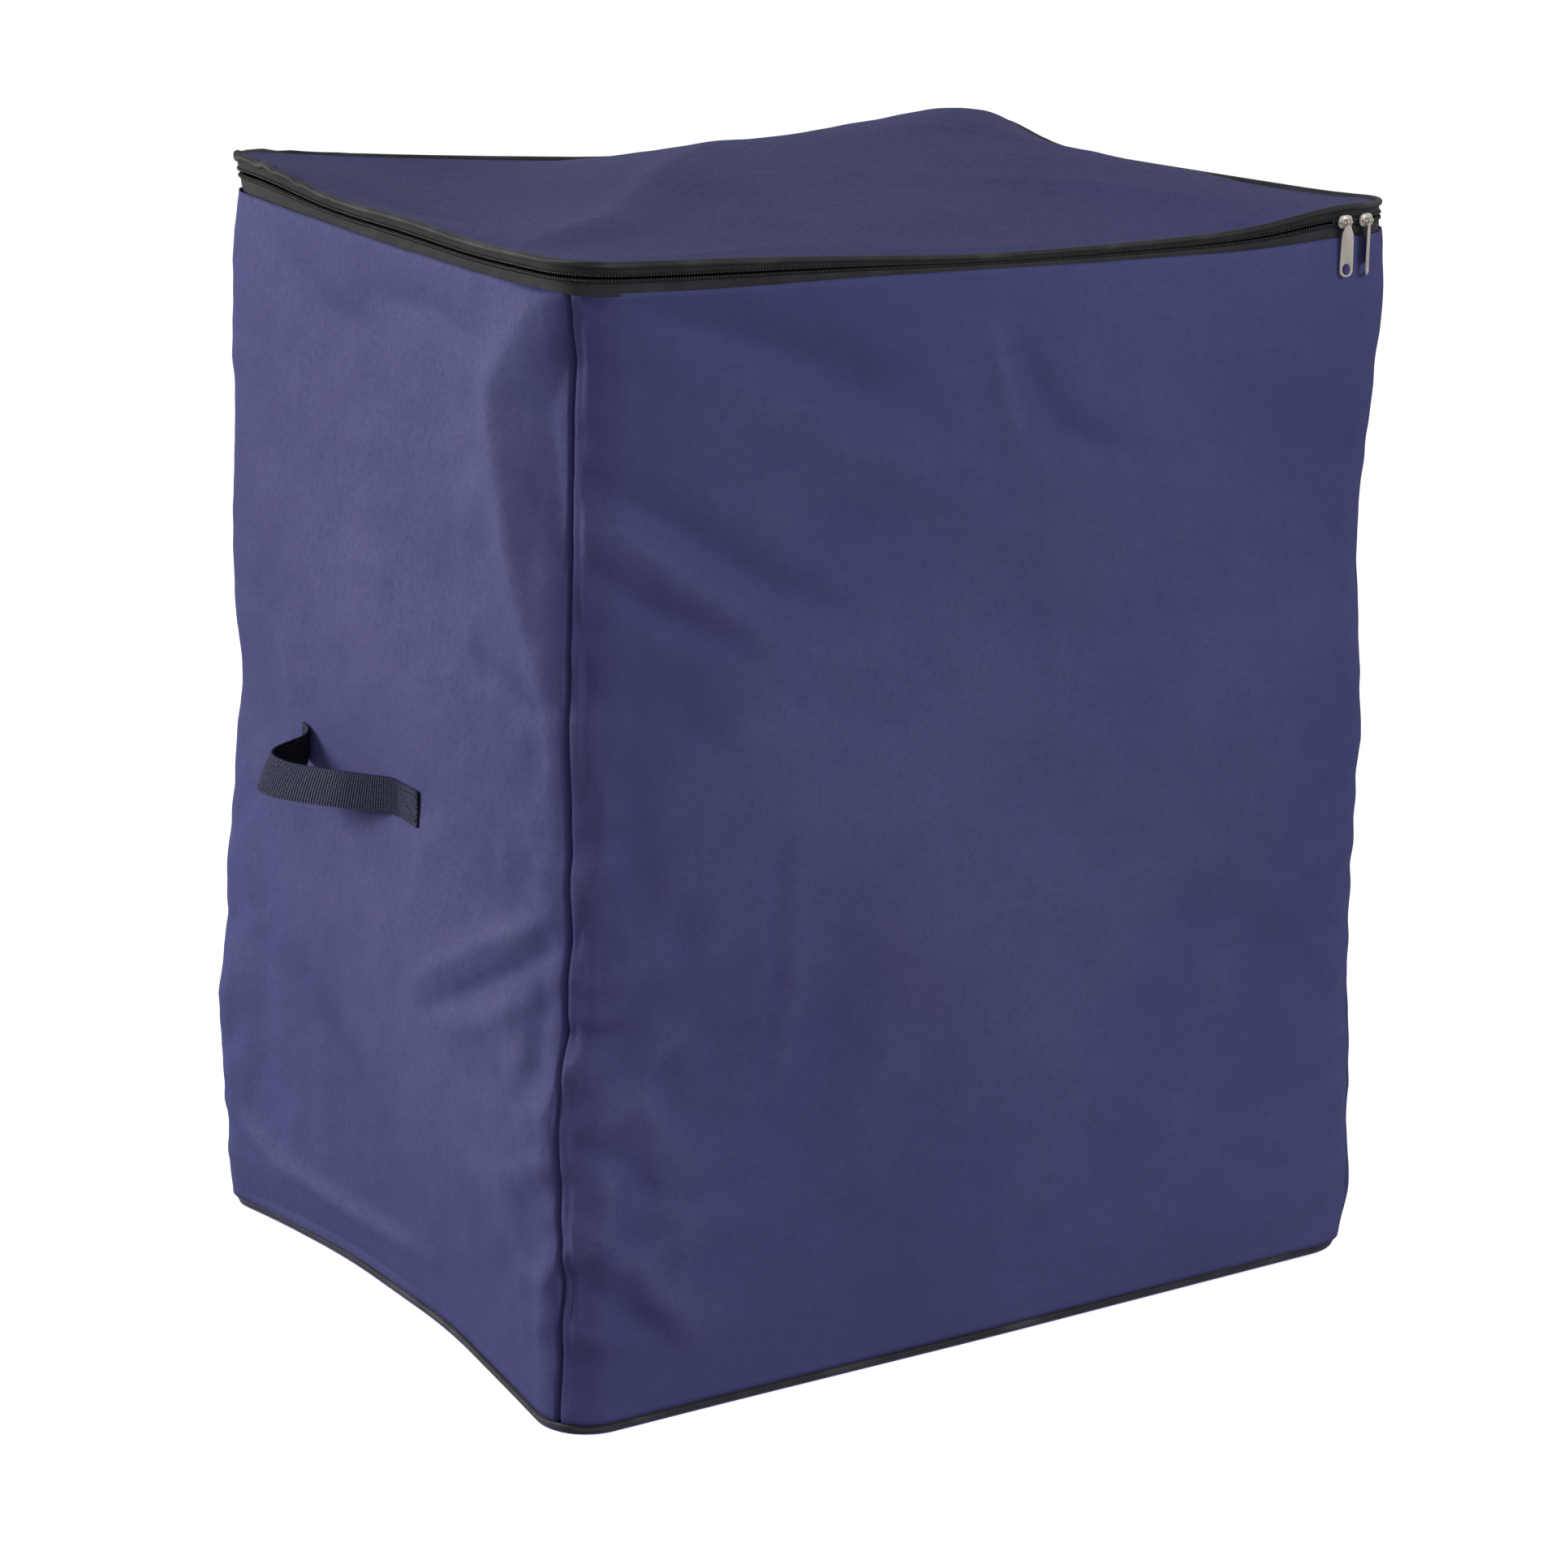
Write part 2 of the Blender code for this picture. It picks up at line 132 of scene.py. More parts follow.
class Finish:
    """A material under construction."""

    def __init__(self, name, roughness, metallic=0.0, sheen=0.0):
        self.material = bpy.data.materials.new(name)
        self.material.use_nodes = True
        self.tree = self.material.node_tree
        self.surface = self.tree.nodes["Principled BSDF"]
        self.surface.inputs["Roughness"].default_value = roughness
        self.surface.inputs["Metallic"].default_value = metallic
        self.surface.inputs["Sheen Weight"].default_value = sheen
        self.place = None

    def node(self, kind, settings=None, values=None, output=0):
        made = self.tree.nodes.new(kind)
        for key, value in (settings or {}).items():
            setattr(made, key, value)
        for key, value in (values or {}).items():
            self.feed(made.inputs[key], value)
        return Shade(self, made.outputs[output])

    def feed(self, socket, value):
        if isinstance(value, Shade):
            self.tree.links.new(value.socket, socket)
        else:
            socket.default_value = value

    def mix(self, first, second, factor):
        return self.node(
            "ShaderNodeMix", {"data_type": "RGBA"}, {0: factor, 6: first, 7: second}, output=2
        )

    def speckle(self, scale, detail=3.0, where=None):
        """Noise from about 0.3 to 0.7, in Object coordinates unless told otherwise."""
        if self.place is None:
            self.place = self.node("ShaderNodeTexCoord", output="Object")
        return self.node(
            "ShaderNodeTexNoise",
            values={"Vector": where or self.place, "Scale": scale, "Detail": detail},
        )

    def between(self, value, low, high, to_low=0.0, to_high=1.0):
        return self.node(
            "ShaderNodeMapRange",
            {"interpolation_type": "SMOOTHSTEP"},
            {"Value": value, 1: low, 2: high, 3: to_low, 4: to_high},
        )

    def uv(self):
        """The piece's own map, in metres along and across it."""
        found = self.node("ShaderNodeUVMap", {"uv_map": "cloth"})
        parts = self.tree.nodes.new("ShaderNodeSeparateXYZ")
        self.tree.links.new(found.socket, parts.inputs[0])
        return Shade(self, parts.outputs["X"]), Shade(self, parts.outputs["Y"])

    def done(self, colour, height=None, depth=0.0002, roughness=None):
        self.feed(self.surface.inputs["Base Color"], colour)
        if roughness is not None:
            self.feed(self.surface.inputs["Roughness"], roughness)
        if height is not None:
            bump = self.node("ShaderNodeBump", values={"Distance": depth, "Height": height})
            self.feed(self.surface.inputs["Normal"], bump)
        return self.material


FLOOR_HALF = 90.0
bm = bmesh.new()
bmesh.ops.create_grid(bm, x_segments=1, y_segments=1, size=FLOOR_HALF)
floor_mesh = bpy.data.meshes.new("floor")
bm.to_mesh(floor_mesh)
bm.free()
floor = bpy.data.objects.new("floor", floor_mesh)
floor.location.z = -0.0005
floor.visible_diffuse = floor.visible_glossy = False
bpy.context.scene.collection.objects.link(floor)
paper = Finish("floor_paper", 0.9)
paper.surface.inputs["Emission Color"].default_value = (1, 1, 1, 1)
paper.surface.inputs["Emission Strength"].default_value = 0.80
floor_mesh.materials.append(
    paper.done(paper.mix((0.90, 0.90, 0.90, 1), (0.93, 0.93, 0.93, 1), paper.speckle(1.5)))
)

# ---------------------------------------------------------------------------------------------------
# The bag's form. Its outline in plan is a rectangle with round corners, and the cloth leaves that
# form in three level lines that sag and stray, the hem, the rim and the lid's brim, and in the
# folds between them. Each line is a list of (place along the side, out, up), in millimetres.

OUT_LOW, OUT_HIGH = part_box("base_piping")
HALF_X, HALF_Y = OUT_HIGH.x, OUT_HIGH.y
CORNER_R = 0.040
X_ARC, Y_ARC = HALF_X - CORNER_R, HALF_Y - CORNER_R
BRIM_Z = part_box("lid_piping")[1].z
RIM_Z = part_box("front_panel")[1].z
HEM_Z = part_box("base_piping")[1].z
WALL_INSET = HALF_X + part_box("left_panel")[0].x
ARC = CORNER_R * math.pi / 2
SIDE_STARTS = np.cumsum([0, 2 * X_ARC, ARC, 2 * Y_ARC, ARC, 2 * X_ARC, ARC, 2 * Y_ARC, ARC])
GIRTH = SIDE_STARTS[-1]

HEM = {
    "front": [(-325, 13, 0), (-200, 9, 0), (0, 5, 0), (200, -1, 1), (325, -4, 2)],
    "right": [(-245, 12, 2), (0, 4, 3), (245, 8, 1)],
    "back": [(-325, 10, 1), (0, 4, 2), (325, 4, 1)],
    "left": [(-245, 11, 0), (-180, 1, 1), (-60, -13, 6), (80, -13, 7), (180, -5, 4), (245, 5, 1)],
}
RIM = {
    "front": [(-325, 0, 10), (-230, 1, 6), (-110, 3, 5), (60, 4, 0), (200, 1, -3), (325, 0, 1)],
    "right": [(-245, 1, 1), (-120, 1, -3), (60, 3, -8), (150, 2, -12), (245, -3, -2)],
    "back": [(-325, -8, 6), (-150, -2, -6), (0, 0, -13), (150, -2, -12), (325, 0, -2)],
    "left": [(-245, 0, 10), (-150, 3, 6), (0, 4, 5), (150, 2, 6), (245, -3, 6)],
}
BRIM = {
    "front": [
        (-325, 0, 8), (-270, 0, 5), (-195, -2, 1), (-110, -6, -6), (-30, -9, -13),
        (60, -10, -15), (170, -8, -14), (225, -4, -9), (270, 0, -3), (325, 0, -1),
    ],
    "right": [
        (-245, 0, -1), (-180, -2, -6), (-60, -5, -12), (60, -6, -18), (145, -4, -22), (205, -1, -12),
        (245, 0, -6),
    ],
    "back": [
        (-325, 0, 8), (-225, -1, -3), (-130, -3, -11), (-10, -4, -20), (120, -4, -19), (215, -2, -13),
        (325, 0, -6),
    ],
    "left": [
        (-245, 0, 8), (-185, -1, 5), (-110, -3, 0), (-20, -3, 2), (60, -3, -1),
        (100, -2, 1), (140, -1, 6), (175, 0, 11), (245, 0, 8),
    ],
}


def stray(line, side, places, which):
    """The out (1) or up (2) of a line at places along one side, in metres, eased over 30 mm."""
    points = np.array(line[side], float) / 1000
    steps = (-0.03, -0.01, 0.01, 0.03)
    return np.mean([np.interp(places + step, points[:, 0], points[:, which]) for step in steps], axis=0)


SLIDERS_AT, SLIDERS_REACH = (0.282, -0.244), 0.045  # the band runs level past the sliders


def strayed(line, x, y):
    """How far the cloth of a level line, and all that it carries, is from its plain place at x, y."""
    a, b = (x / HALF_X + 1) / 2, (y / HALF_Y + 1) / 2
    shift_x = -(1 - a) * stray(line, "left", y, 1) + a * stray(line, "right", y, 1)
    shift_y = -(1 - b) * stray(line, "front", x, 1) + b * stray(line, "back", x, 1)
    ups = {side: stray(line, side, x if side in ("front", "back") else y, 2) for side in line}
    corners = 0
    for side, edge, share in (
        ("front", -HALF_X, (1 - a) * (1 - b)), ("front", HALF_X, a * (1 - b)),
        ("back", -HALF_X, (1 - a) * b), ("back", HALF_X, a * b),
    ):
        corners = corners + share * stray(line, side, np.array([edge]), 2)
    shift_z = (1 - a) * ups["left"] + a * ups["right"] + (1 - b) * ups["front"] + b * ups["back"]
    shift_z = shift_z - corners
    shift = np.stack([shift_x, shift_y, shift_z], axis=-1)
    if line is not HEM:
        from_sliders = np.hypot(x - SLIDERS_AT[0], y - SLIDERS_AT[1])
        shift *= (1 - np.exp(-((from_sliders / SLIDERS_REACH) ** 2)))[..., None]
    return shift


def outline(along, inset=0.0):
    """Plan points and outward directions at distances round the outline, from the front's left end."""
    along = np.mod(np.asarray(along, float), GIRTH)
    x, y, nx, ny = (np.zeros_like(along) for _ in range(4))
    sides = (
        ((-X_ARC, -HALF_Y), (1, 0)), ((HALF_X, -Y_ARC), (0, 1)),
        ((X_ARC, HALF_Y), (-1, 0)), ((-HALF_X, Y_ARC), (0, -1)),
    )
    centres = ((X_ARC, -Y_ARC), (X_ARC, Y_ARC), (-X_ARC, Y_ARC), (-X_ARC, -Y_ARC))
    for i, ((start, way), centre) in enumerate(zip(sides, centres)):
        flat = (along >= SIDE_STARTS[2 * i]) & (along <= SIDE_STARTS[2 * i + 1])
        run = along[flat] - SIDE_STARTS[2 * i]
        x[flat], y[flat] = start[0] + way[0] * run, start[1] + way[1] * run
        nx[flat], ny[flat] = way[1], -way[0]
        bent = (along > SIDE_STARTS[2 * i + 1]) & (along < SIDE_STARTS[2 * i + 2])
        turn = (along[bent] - SIDE_STARTS[2 * i + 1]) / CORNER_R + math.pi / 2 * (i - 1)
        nx[bent], ny[bent] = np.cos(turn), np.sin(turn)
        x[bent], y[bent] = centre[0] + CORNER_R * nx[bent], centre[1] + CORNER_R * ny[bent]
    return x - inset * nx, y - inset * ny, nx, ny


def level_line(line, height, along, inset=0.0):
    """Points of a level line round the bag."""
    x, y, _, _ = outline(along, inset)
    return np.stack([x, y, np.full_like(x, height)], axis=-1) + strayed(line, x, y)


# ---------------------------------------------------------------------------------------------------
# Walls. Four panels of navy coated polyester, sewn together up each corner. Each is one sheet with its
# folds in it; the raw edges are turned in at the seam.

# Folds: the wall, the fold's course as (x or y, z) in centimetres, its half width in millimetres, and
# how far it stands out in millimetres, below 0 where it dips.
FOLDS = (
    ("front", ((-29, 73), (-22, 71), (-12, 68)), 14, -2.5),
    ("front", ((-25, 72), (-17, 69), (-6, 64)), 22, -4.0),
    ("front", ((-24, 69), (-16, 65.5), (-5, 60)), 22, 3.0),
    ("front", ((-1.5, 70), (-0.5, 66), (1, 62)), 9, 3.5),
    ("front", ((1, 68), (4, 63), (10, 61)), 13, -3.5),
    ("front", ((-32, 62), (-25, 59), (-17, 54), (-12, 52)), 15, -5.0),
    ("front", ((-31, 59.5), (-25, 56), (-18, 51)), 14, 3.5),
    ("front", ((-32, 57), (-26, 53.5), (-20, 51)), 12, -4.0),
    ("front", ((-31, 49.5), (-25, 47), (-20, 43)), 22, -3.5),
    ("front", ((-17, 38), (-17.2, 27), (-18, 19)), 6, -1.6),
    ("front", ((-15.6, 40), (-15.4, 28), (-16.6, 20)), 9, 1.4),
    ("front", ((-10.5, 33), (-12.6, 22), (-17, 14), (-21, 8)), 24, -3.4),
    ("front", ((-6, 34), (-7.5, 22), (-12, 12)), 26, 1.6),
    ("front", ((-31.5, 26.5), (-27.5, 26.8)), 6, -2.5),
    ("front", ((-31.5, 29.5), (-28.5, 31)), 8, 2.0),
    ("front", ((-31.5, 19.5), (-28, 17.6), (-25, 15)), 12, -5.5),
    ("front", ((-31, 23), (-27, 21.5), (-23, 17)), 11, 3.0),
    ("front", ((-31, 10.5), (-28, 8), (-24, 4.5)), 12, -5.0),
    ("front", ((-29, 13), (-26, 9), (-22.5, 5)), 10, 3.0),
    ("front", ((17, 29), (13, 20), (10, 10)), 24, -2.6),
    ("front", ((21, 27), (17.5, 19), (15, 11)), 22, 1.4),
    ("front", ((30, 14), (23, 13), (17, 10)), 18, -2.2),
    ("front", ((31, 5.5), (27.5, 2.2)), 12, -4.0),
    ("front", ((-6, 41), (-5.8, 35)), 12, 1.5),
    ("front", ((-31.5, 73.2), (-30.2, 73.2)), 5, -3.0),
    ("front", ((31, 60), (26, 55), (22, 47)), 24, -1.6),
    ("front", ((30.5, 42), (26, 38)), 14, -2.0),
    (
        "left",
        (
            (-20.5, 73), (-17.6, 70), (-15.4, 67), (-15.6, 64),
            (-17.4, 60.5), (-18, 57), (-20, 52), (-22, 45),
        ),
        21, 9.5,
    ),
    ("left", ((-23.6, 72), (-22.4, 69), (-20.6, 66), (-21.4, 62), (-22.6, 57), (-23.4, 53)), 15, -5.0),
    ("left", ((-12, 62), (-15, 57)), 30, 4.0),
    ("left", ((2, 69.8), (-6, 70.5), (-13, 69.5)), 13, -3.5),
    ("left", ((17, 72), (7, 68), (-3, 68)), 14, -2.0),
    ("left", ((11.6, 64), (11.3, 60)), 5, 1.2),
    ("left", ((9, 50), (6.8, 45.5)), 6, 1.5),
    ("left", ((14, 43.5), (13, 40.5)), 5, 1.5),
    ("left", ((-5, 25), (-13.5, 30), (-24, 35)), 9, 3.0),
    ("left", ((-5.5, 23), (-14.9, 28), (-24.6, 33.4)), 8, -3.5),
    ("left", ((-9, 22.5), (-16.4, 26.3), (-24.5, 31)), 10, 2.5),
    ("left", ((24, 8.5), (15, 5.0), (6, 4.2), (-5, 4.8)), 9, 4.0),
    ("left", ((20, 1.5), (8, 0.4), (-4, 0.6)), 16, -4.0),
    ("left", ((15.5, 22), (8, 17), (2, 12)), 24, -4.0),
    ("left", ((-22, 27), (-24.6, 26)), 6, -3.5),
    ("left", ((-13, 49), (-19, 47), (-23, 47.5)), 9, -2.0),
    ("left", ((-11, 53), (-13.5, 47)), 8, 1.6),
    ("left", ((3.5, 52.6), (-1.5, 51.8)), 9, 1.2),
    ("left", ((-4, 29), (-6, 35), (-12, 38)), 14, 2.0),
    ("left", ((-22.5, 18), (-23.5, 6)), 10, -3.0),
    ("right", ((-20, 70), (-12, 64), (-6, 55)), 20, -4.0),
    ("right", ((18, 66), (10, 58), (4, 54)), 22, -4.5),
    ("right", ((-22, 30), (-12, 26), (-3, 17)), 18, -4.0),
    ("right", ((20, 22), (12, 16), (6, 8)), 20, -4.5),
    ("right", ((2, 44), (8, 34)), 18, 2.5),
    ("back", ((26, 70), (14, 64), (4, 60)), 22, -4.0),
    ("back", ((-30, 60), (-20, 56), (-10, 46)), 20, -4.5),
    ("back", ((10, 42), (6, 28), (8, 18)), 20, -4.0),
    ("back", ((-28, 28), (-18, 20), (-12, 9)), 20, -4.5),
    ("back", ((28, 16), (20, 12), (12, 5)), 16, -4.0),
    ("back", ((-4, 70), (-2, 62)), 12, 3.0),
)
# Where a wall corner strays at heights between hem and rim: (height in cm, x, y in millimetres).
CORNER_STRAYS = {
    (-1, -1): ((0, 0, 0), (10, 2, 0), (20, -1, 0), (33, 6, 1), (46, 3, 0), (60, -2, 0), (74, 0, 0)),
    (1, -1): (
        (0, 0, 0), (2, 8, -5), (9, 10, -6), (17, 7, -4), (25, 3, -2), (33, 3, -3), (38, 6, -4),
        (42, 3, -1), (47, -1, 0), (53, -8, 0), (58, -3, -2), (65, 3, -3), (70, 6, -4), (73, 2, -1),
        (74, 0, 0),
    ),
    (-1, 1): (
        (0, 0, 0), (2, -9, 6), (5, -6, 2), (14, -14, 10), (24, -9, 6), (33, -5, 0), (41, -2, -9),
        (49, -7, -1), (58, -3, 0), (67, -7, 4), (71, -7, 4), (74, 0, 0),
    ),
    (1, 1): ((0, 0, 0), (20, 3, 2), (40, -4, -5), (60, 2, -3), (74, 0, 0)),
}
CORNER_REACH = (0.16, 0.13)  # how far along x and along y a corner's straying carries
WALL_BELLY, FOLD_STRENGTH = 0.005, 1.15
# Unevenness of the cloth, from broad to fine: (depth in metres, noise scale, seed).
WALL_GRAINS = ((0.0038, 5.5, 1), (0.0022, 14, 2), (0.0010, 30, 6))
FINE_DEEP, PUCKER_DEEP, HEM_PUCKER_DEEP = 0.0005, 0.0026, 0.0009
RIDGES_DEEP, CRUMPLE_DEEP = 0.0125, 0.0044
# The handle holds the cloth flat: its y and z, and how far that carries along each.
HANDLE_SPOT, HANDLE_CALM = (0.035, 0.375), (0.085, 0.05)
# The front left corner has given way below the rim: heights, and how far the seam has sunk, in metres.
SUNK_AT, SUNK_BY = (0.38, 0.48, 0.58, 0.66, 0.71, 0.738), (0.0, 0.006, 0.013, 0.017, 0.008, 0.0)
SUNK_REACH, SUNK_WAY, WORN_REACH = (0.06, 0.058), (0.72, 0.60), 0.16


def fold_profile(course, half_width, across, height):
    """1 on the fold's line, falling off to each side and towards its ends."""
    course = np.array(course, float) / 100
    starts, ends = course[:-1], course[1:]
    lengths = np.linalg.norm(ends - starts, axis=1)
    best, share = np.full(across.shape, 9.0), np.zeros(across.shape)
    passed = 0.0
    for start, end, length in zip(starts, ends, lengths):
        way = (end - start) / length
        run = (across - start[0]) * way[0] + (height - start[1]) * way[1]
        kept = np.clip(run, 0, length)
        away = np.hypot(across - start[0] - way[0] * kept, height - start[1] - way[1] * kept)
        nearer = away < best
        best = np.where(nearer, away, best)
        share = np.where(nearer, (passed + kept) / lengths.sum(), share)
        passed += length
    taper = np.clip(np.sin(np.pi * np.clip(0.12 + 0.76 * share, 0, 1)), 0, 1)
    return np.exp(-((best / half_width) ** 1.7)) * taper


def grain(points, scale, seed):
    """Smooth seeded noise from -1 to 1 at each point."""
    offset = Vector((seed * 7.3, seed * 3.1, seed * 5.7))
    return np.array([noise.noise(Vector(p) * scale + offset) for p in points])


def near_corner(x, y, side_x, side_y, reach_x, reach_y):
    """1 at a wall corner, falling off along x and along y."""
    from_x, from_y = (x - side_x * HALF_X) / reach_x, (y - side_y * HALF_Y) / reach_y
    return np.exp(-(from_x**2) - from_y**2)


def hang(x, y, height, rise):
    """How far the walls as a whole are from their plain place, as hem, rim and corners carry them."""
    by_hem, by_rim = (1 - rise)[:, None], rise[:, None]
    hem, rim = strayed(HEM, x, y), strayed(RIM, x, y)
    shift = hem * by_hem + rim * by_rim
    shift[:, :2] = hem[:, :2] * np.clip(by_hem, 0, 1) ** 4 + rim[:, :2] * np.clip(by_rim, 0, 1) ** 3
    for corner, strays in CORNER_STRAYS.items():
        strays = np.array(strays, float)
        near = near_corner(x, y, *corner, *CORNER_REACH)
        for axis in (0, 1):
            eased = [
                np.interp(height * 100 + step, strays[:, 0], strays[:, 1 + axis]) for step in (-2, 0, 2)
            ]
            shift[:, axis] += near * np.mean(eased, axis=0) / 1000
    sunk = np.mean([np.interp(height + step, SUNK_AT, SUNK_BY) for step in (-0.02, 0, 0.02)], axis=0)
    sunk = sunk * near_corner(x, y, -1, -1, *SUNK_REACH)
    shift[:, 0] += SUNK_WAY[0] * sunk
    shift[:, 1] += SUNK_WAY[1] * sunk
    return shift


def held_level(rise):
    """1 over the walls' height, and 0 at hem and rim, which hold the cloth level."""
    return np.clip(12 * rise * (1 - rise), 0, 1)


def creased(plain, nx, rise, from_corner):
    """The puckers along the corner seams and the crumpled cloth beside them, most at the front left."""
    x, y, _ = plain.T
    worn = 0.3 + 0.7 * near_corner(x, y, -1, -1, WORN_REACH, WORN_REACH)
    seam = np.abs(np.abs(nx) - math.sqrt(0.5)) * CORNER_R * 1.4
    pucker = np.exp(-(seam + np.where(seam > 0.011, from_corner, 0)) / 0.016)
    out = PUCKER_DEEP * worn * pucker * grain(plain * (0.25, 0.25, 1), 55, 4)
    low_down = np.clip(1.2 - 2.2 * np.abs(rise - 0.25), 0, 1)
    crumple = np.exp(-from_corner / 0.06) * low_down * held_level(rise) * worn
    out += RIDGES_DEEP * crumple * (0.25 - np.abs(grain(plain * (1, 1, 0.8), 20, 7)))
    return out + CRUMPLE_DEEP * crumple * grain(plain, 42, 8)


def wall(along, height, inset=WALL_INSET):
    """Points on the walls' outer face, and how far each stands out of the plain wall."""
    x, y, nx, ny = outline(along, inset)
    rise = (height - HEM_Z) / (RIM_Z - HEM_Z)
    plain = np.stack([x, y, height], axis=-1)
    on = {
        "front": (ny < -0.7, x), "back": (ny > 0.7, x), "left": (nx < -0.7, y), "right": (nx > 0.7, y),
    }
    out = np.zeros_like(height)
    for side, course, half_width, depth in FOLDS:
        mask, across = on[side]
        profile = fold_profile(course, half_width / 1000, across, height)
        out += mask * depth / 1000 * FOLD_STRENGTH * profile
    edge_x, edge_y = np.clip(X_ARC - np.abs(x), 0, 1), np.clip(Y_ARC - np.abs(y), 0, 1)
    from_corner = np.where(np.abs(nx) > 0.7, edge_y, edge_x)
    middle = np.sin(np.pi * np.clip(rise, 0, 1)) ** 0.7 * (1 - np.exp(-from_corner / 0.07))
    out += WALL_BELLY * middle
    rough = sum(depth * grain(plain, scale, seed) for depth, scale, seed in WALL_GRAINS)
    out += held_level(rise) * rough + FINE_DEEP * grain(plain, 60, 3)
    out += creased(plain, nx, rise, from_corner)
    hem_pucker = np.exp(-(height - HEM_Z) / 0.018) + np.exp(-(RIM_Z - height) / 0.014)
    out += HEM_PUCKER_DEEP * hem_pucker * grain(plain * (1, 1, 0.2), 55, 5)
    by_handle = ((y - HANDLE_SPOT[0]) / HANDLE_CALM[0], (height - HANDLE_SPOT[1]) / HANDLE_CALM[1])
    by_handle = np.exp(-(by_handle[0] ** 2) - by_handle[1] ** 2)
    out *= 1 - 0.85 * by_handle * (np.abs(nx) > 0.9)
    held = np.clip((height - HEM_Z) / 0.004, 0, 1) * np.clip((RIM_Z - height) / 0.004, 0, 1)
    out = out * held
    points = plain + hang(x, y, height, rise) + np.stack([nx * out, ny * out, 0 * out], axis=-1)
    return points, out


def sheet_mesh(name, columns, rows, size, shape, closed=False):
    """A grid of cloth: shape takes each vertex's shares across and up, and gives points and a mark."""
    bm = bmesh.new()
    bmesh.ops.create_grid(bm, x_segments=columns, y_segments=rows, size=0.5)
    mesh = bpy.data.meshes.new(name)
    bm.to_mesh(mesh)
    bm.free()
    flat = np.empty(len(mesh.vertices) * 3)
    mesh.vertices.foreach_get("co", flat)
    flat = flat.reshape(-1, 3)[:, :2] + 0.5
    points, mark = shape(flat[:, 0], flat[:, 1])
    mesh.vertices.foreach_set("co", points.ravel())
    ends = np.empty(len(mesh.loops), int)
    mesh.loops.foreach_get("vertex_index", ends)
    mesh.uv_layers.new(name="cloth").data.foreach_set("uv", (flat * size)[ends].ravel())
    if mark is not None:
        mesh.attributes.new("standing", "FLOAT", "POINT").data.foreach_set("value", mark)
    if closed:
        bm = bmesh.new()
        bm.from_mesh(mesh)
        bmesh.ops.remove_doubles(bm, verts=bm.verts, dist=0.0001)
        bm.to_mesh(mesh)
        bm.free()
    mesh.shade_smooth()
    mesh.update()
    made = bpy.data.objects.new(name, mesh)
    bpy.context.scene.collection.objects.link(made)
    return made


def thicken(piece, thickness, offset=-1.0):
    """Gives a sheet its thickness, behind its face unless told otherwise."""
    thick = piece.modifiers.new("cloth_thickness", "SOLIDIFY")
    thick.thickness, thick.offset = thickness, offset


def dressed(piece, slot, *materials):
    """Gives a piece its materials, and turns its modifiers into mesh. The slot is not used."""
    for material in materials:
        piece.data.materials.append(material)
    if piece.modifiers:
        graph = bpy.context.evaluated_depsgraph_get()
        mesh = bpy.data.meshes.new_from_object(piece.evaluated_get(graph))
        piece.modifiers.clear()
        piece.data = mesh
    return piece


def navy_cloth(name):
    """Polyester weave with a rubbery coat: it creases like thin leather and pales on standing folds."""
    cloth = Finish(name, 0.56)
    cloth.surface.inputs["Specular IOR Level"].default_value = 0.2
    across, up = cloth.uv()
    pitch = 2 * math.pi / 0.0011
    weave = (across * pitch).sine() * (up * pitch).sine()
    crumple = cloth.speckle(38, 5)
    leather = cloth.speckle(260, 4)
    standing = cloth.node("ShaderNodeAttribute", {"attribute_name": "standing"}, output="Fac")
    worn = cloth.between(standing + 0.004 * cloth.speckle(90, 4), 0.002, 0.009)
    patches = cloth.between(cloth.speckle(4.5, 4), 0.32, 0.68)
    body = cloth.mix((0.090, 0.093, 0.278, 1), (0.108, 0.112, 0.318, 1), patches)
    body = cloth.mix(body, (0.160, 0.164, 0.38, 1), worn * 0.35)
    body = cloth.mix(body, (0.078, 0.081, 0.234, 1), cloth.between(leather, 0.5, 0.72, 0, 0.4))
    height = crumple * 1.0 + leather * 0.34 + weave * 0.06
    rough = cloth.between(leather, 0.3, 0.7, 0.50, 0.64)
    return cloth.done(body, height, 0.0011, rough)


CLOTH_THICKNESS, CLOTH_CELL = 0.0009, 0.0040
HALF_ARC = ARC / 2
FRONT_LEFT_PULL = 0.009  # how far the front left seam is pulled round towards the left wall
SEAMS = (
    SIDE_STARTS[-1] - HALF_ARC - FRONT_LEFT_PULL, SIDE_STARTS[1] + HALF_ARC,
    SIDE_STARTS[3] + HALF_ARC, SIDE_STARTS[5] + HALF_ARC,
)
PANELS = {
    "front": (SEAMS[0] - GIRTH, SEAMS[1]),
    "right": (SEAMS[1], SEAMS[2]),
    "back": (SEAMS[2], SEAMS[3]),
    "left": (SEAMS[3], SEAMS[0]),
}
SEAM_TURN, SEAM_ROLL = 0.0042, 0.0017
FINE_ZONE, FINE_COLUMNS = 0.030, 16


def seamward(share, width, columns):
    """A column's place across a panel: the columns crowd together towards the seams."""
    fine = FINE_COLUMNS / columns
    from_end = np.minimum(share, 1 - share)
    inner = FINE_ZONE + (from_end - fine) / (0.5 - fine) * (width / 2 - FINE_ZONE)
    outer = FINE_ZONE * (from_end / fine) ** 1.9
    away = np.where(from_end < fine, outer, inner)
    return np.where(share < 0.5, away, width - away)


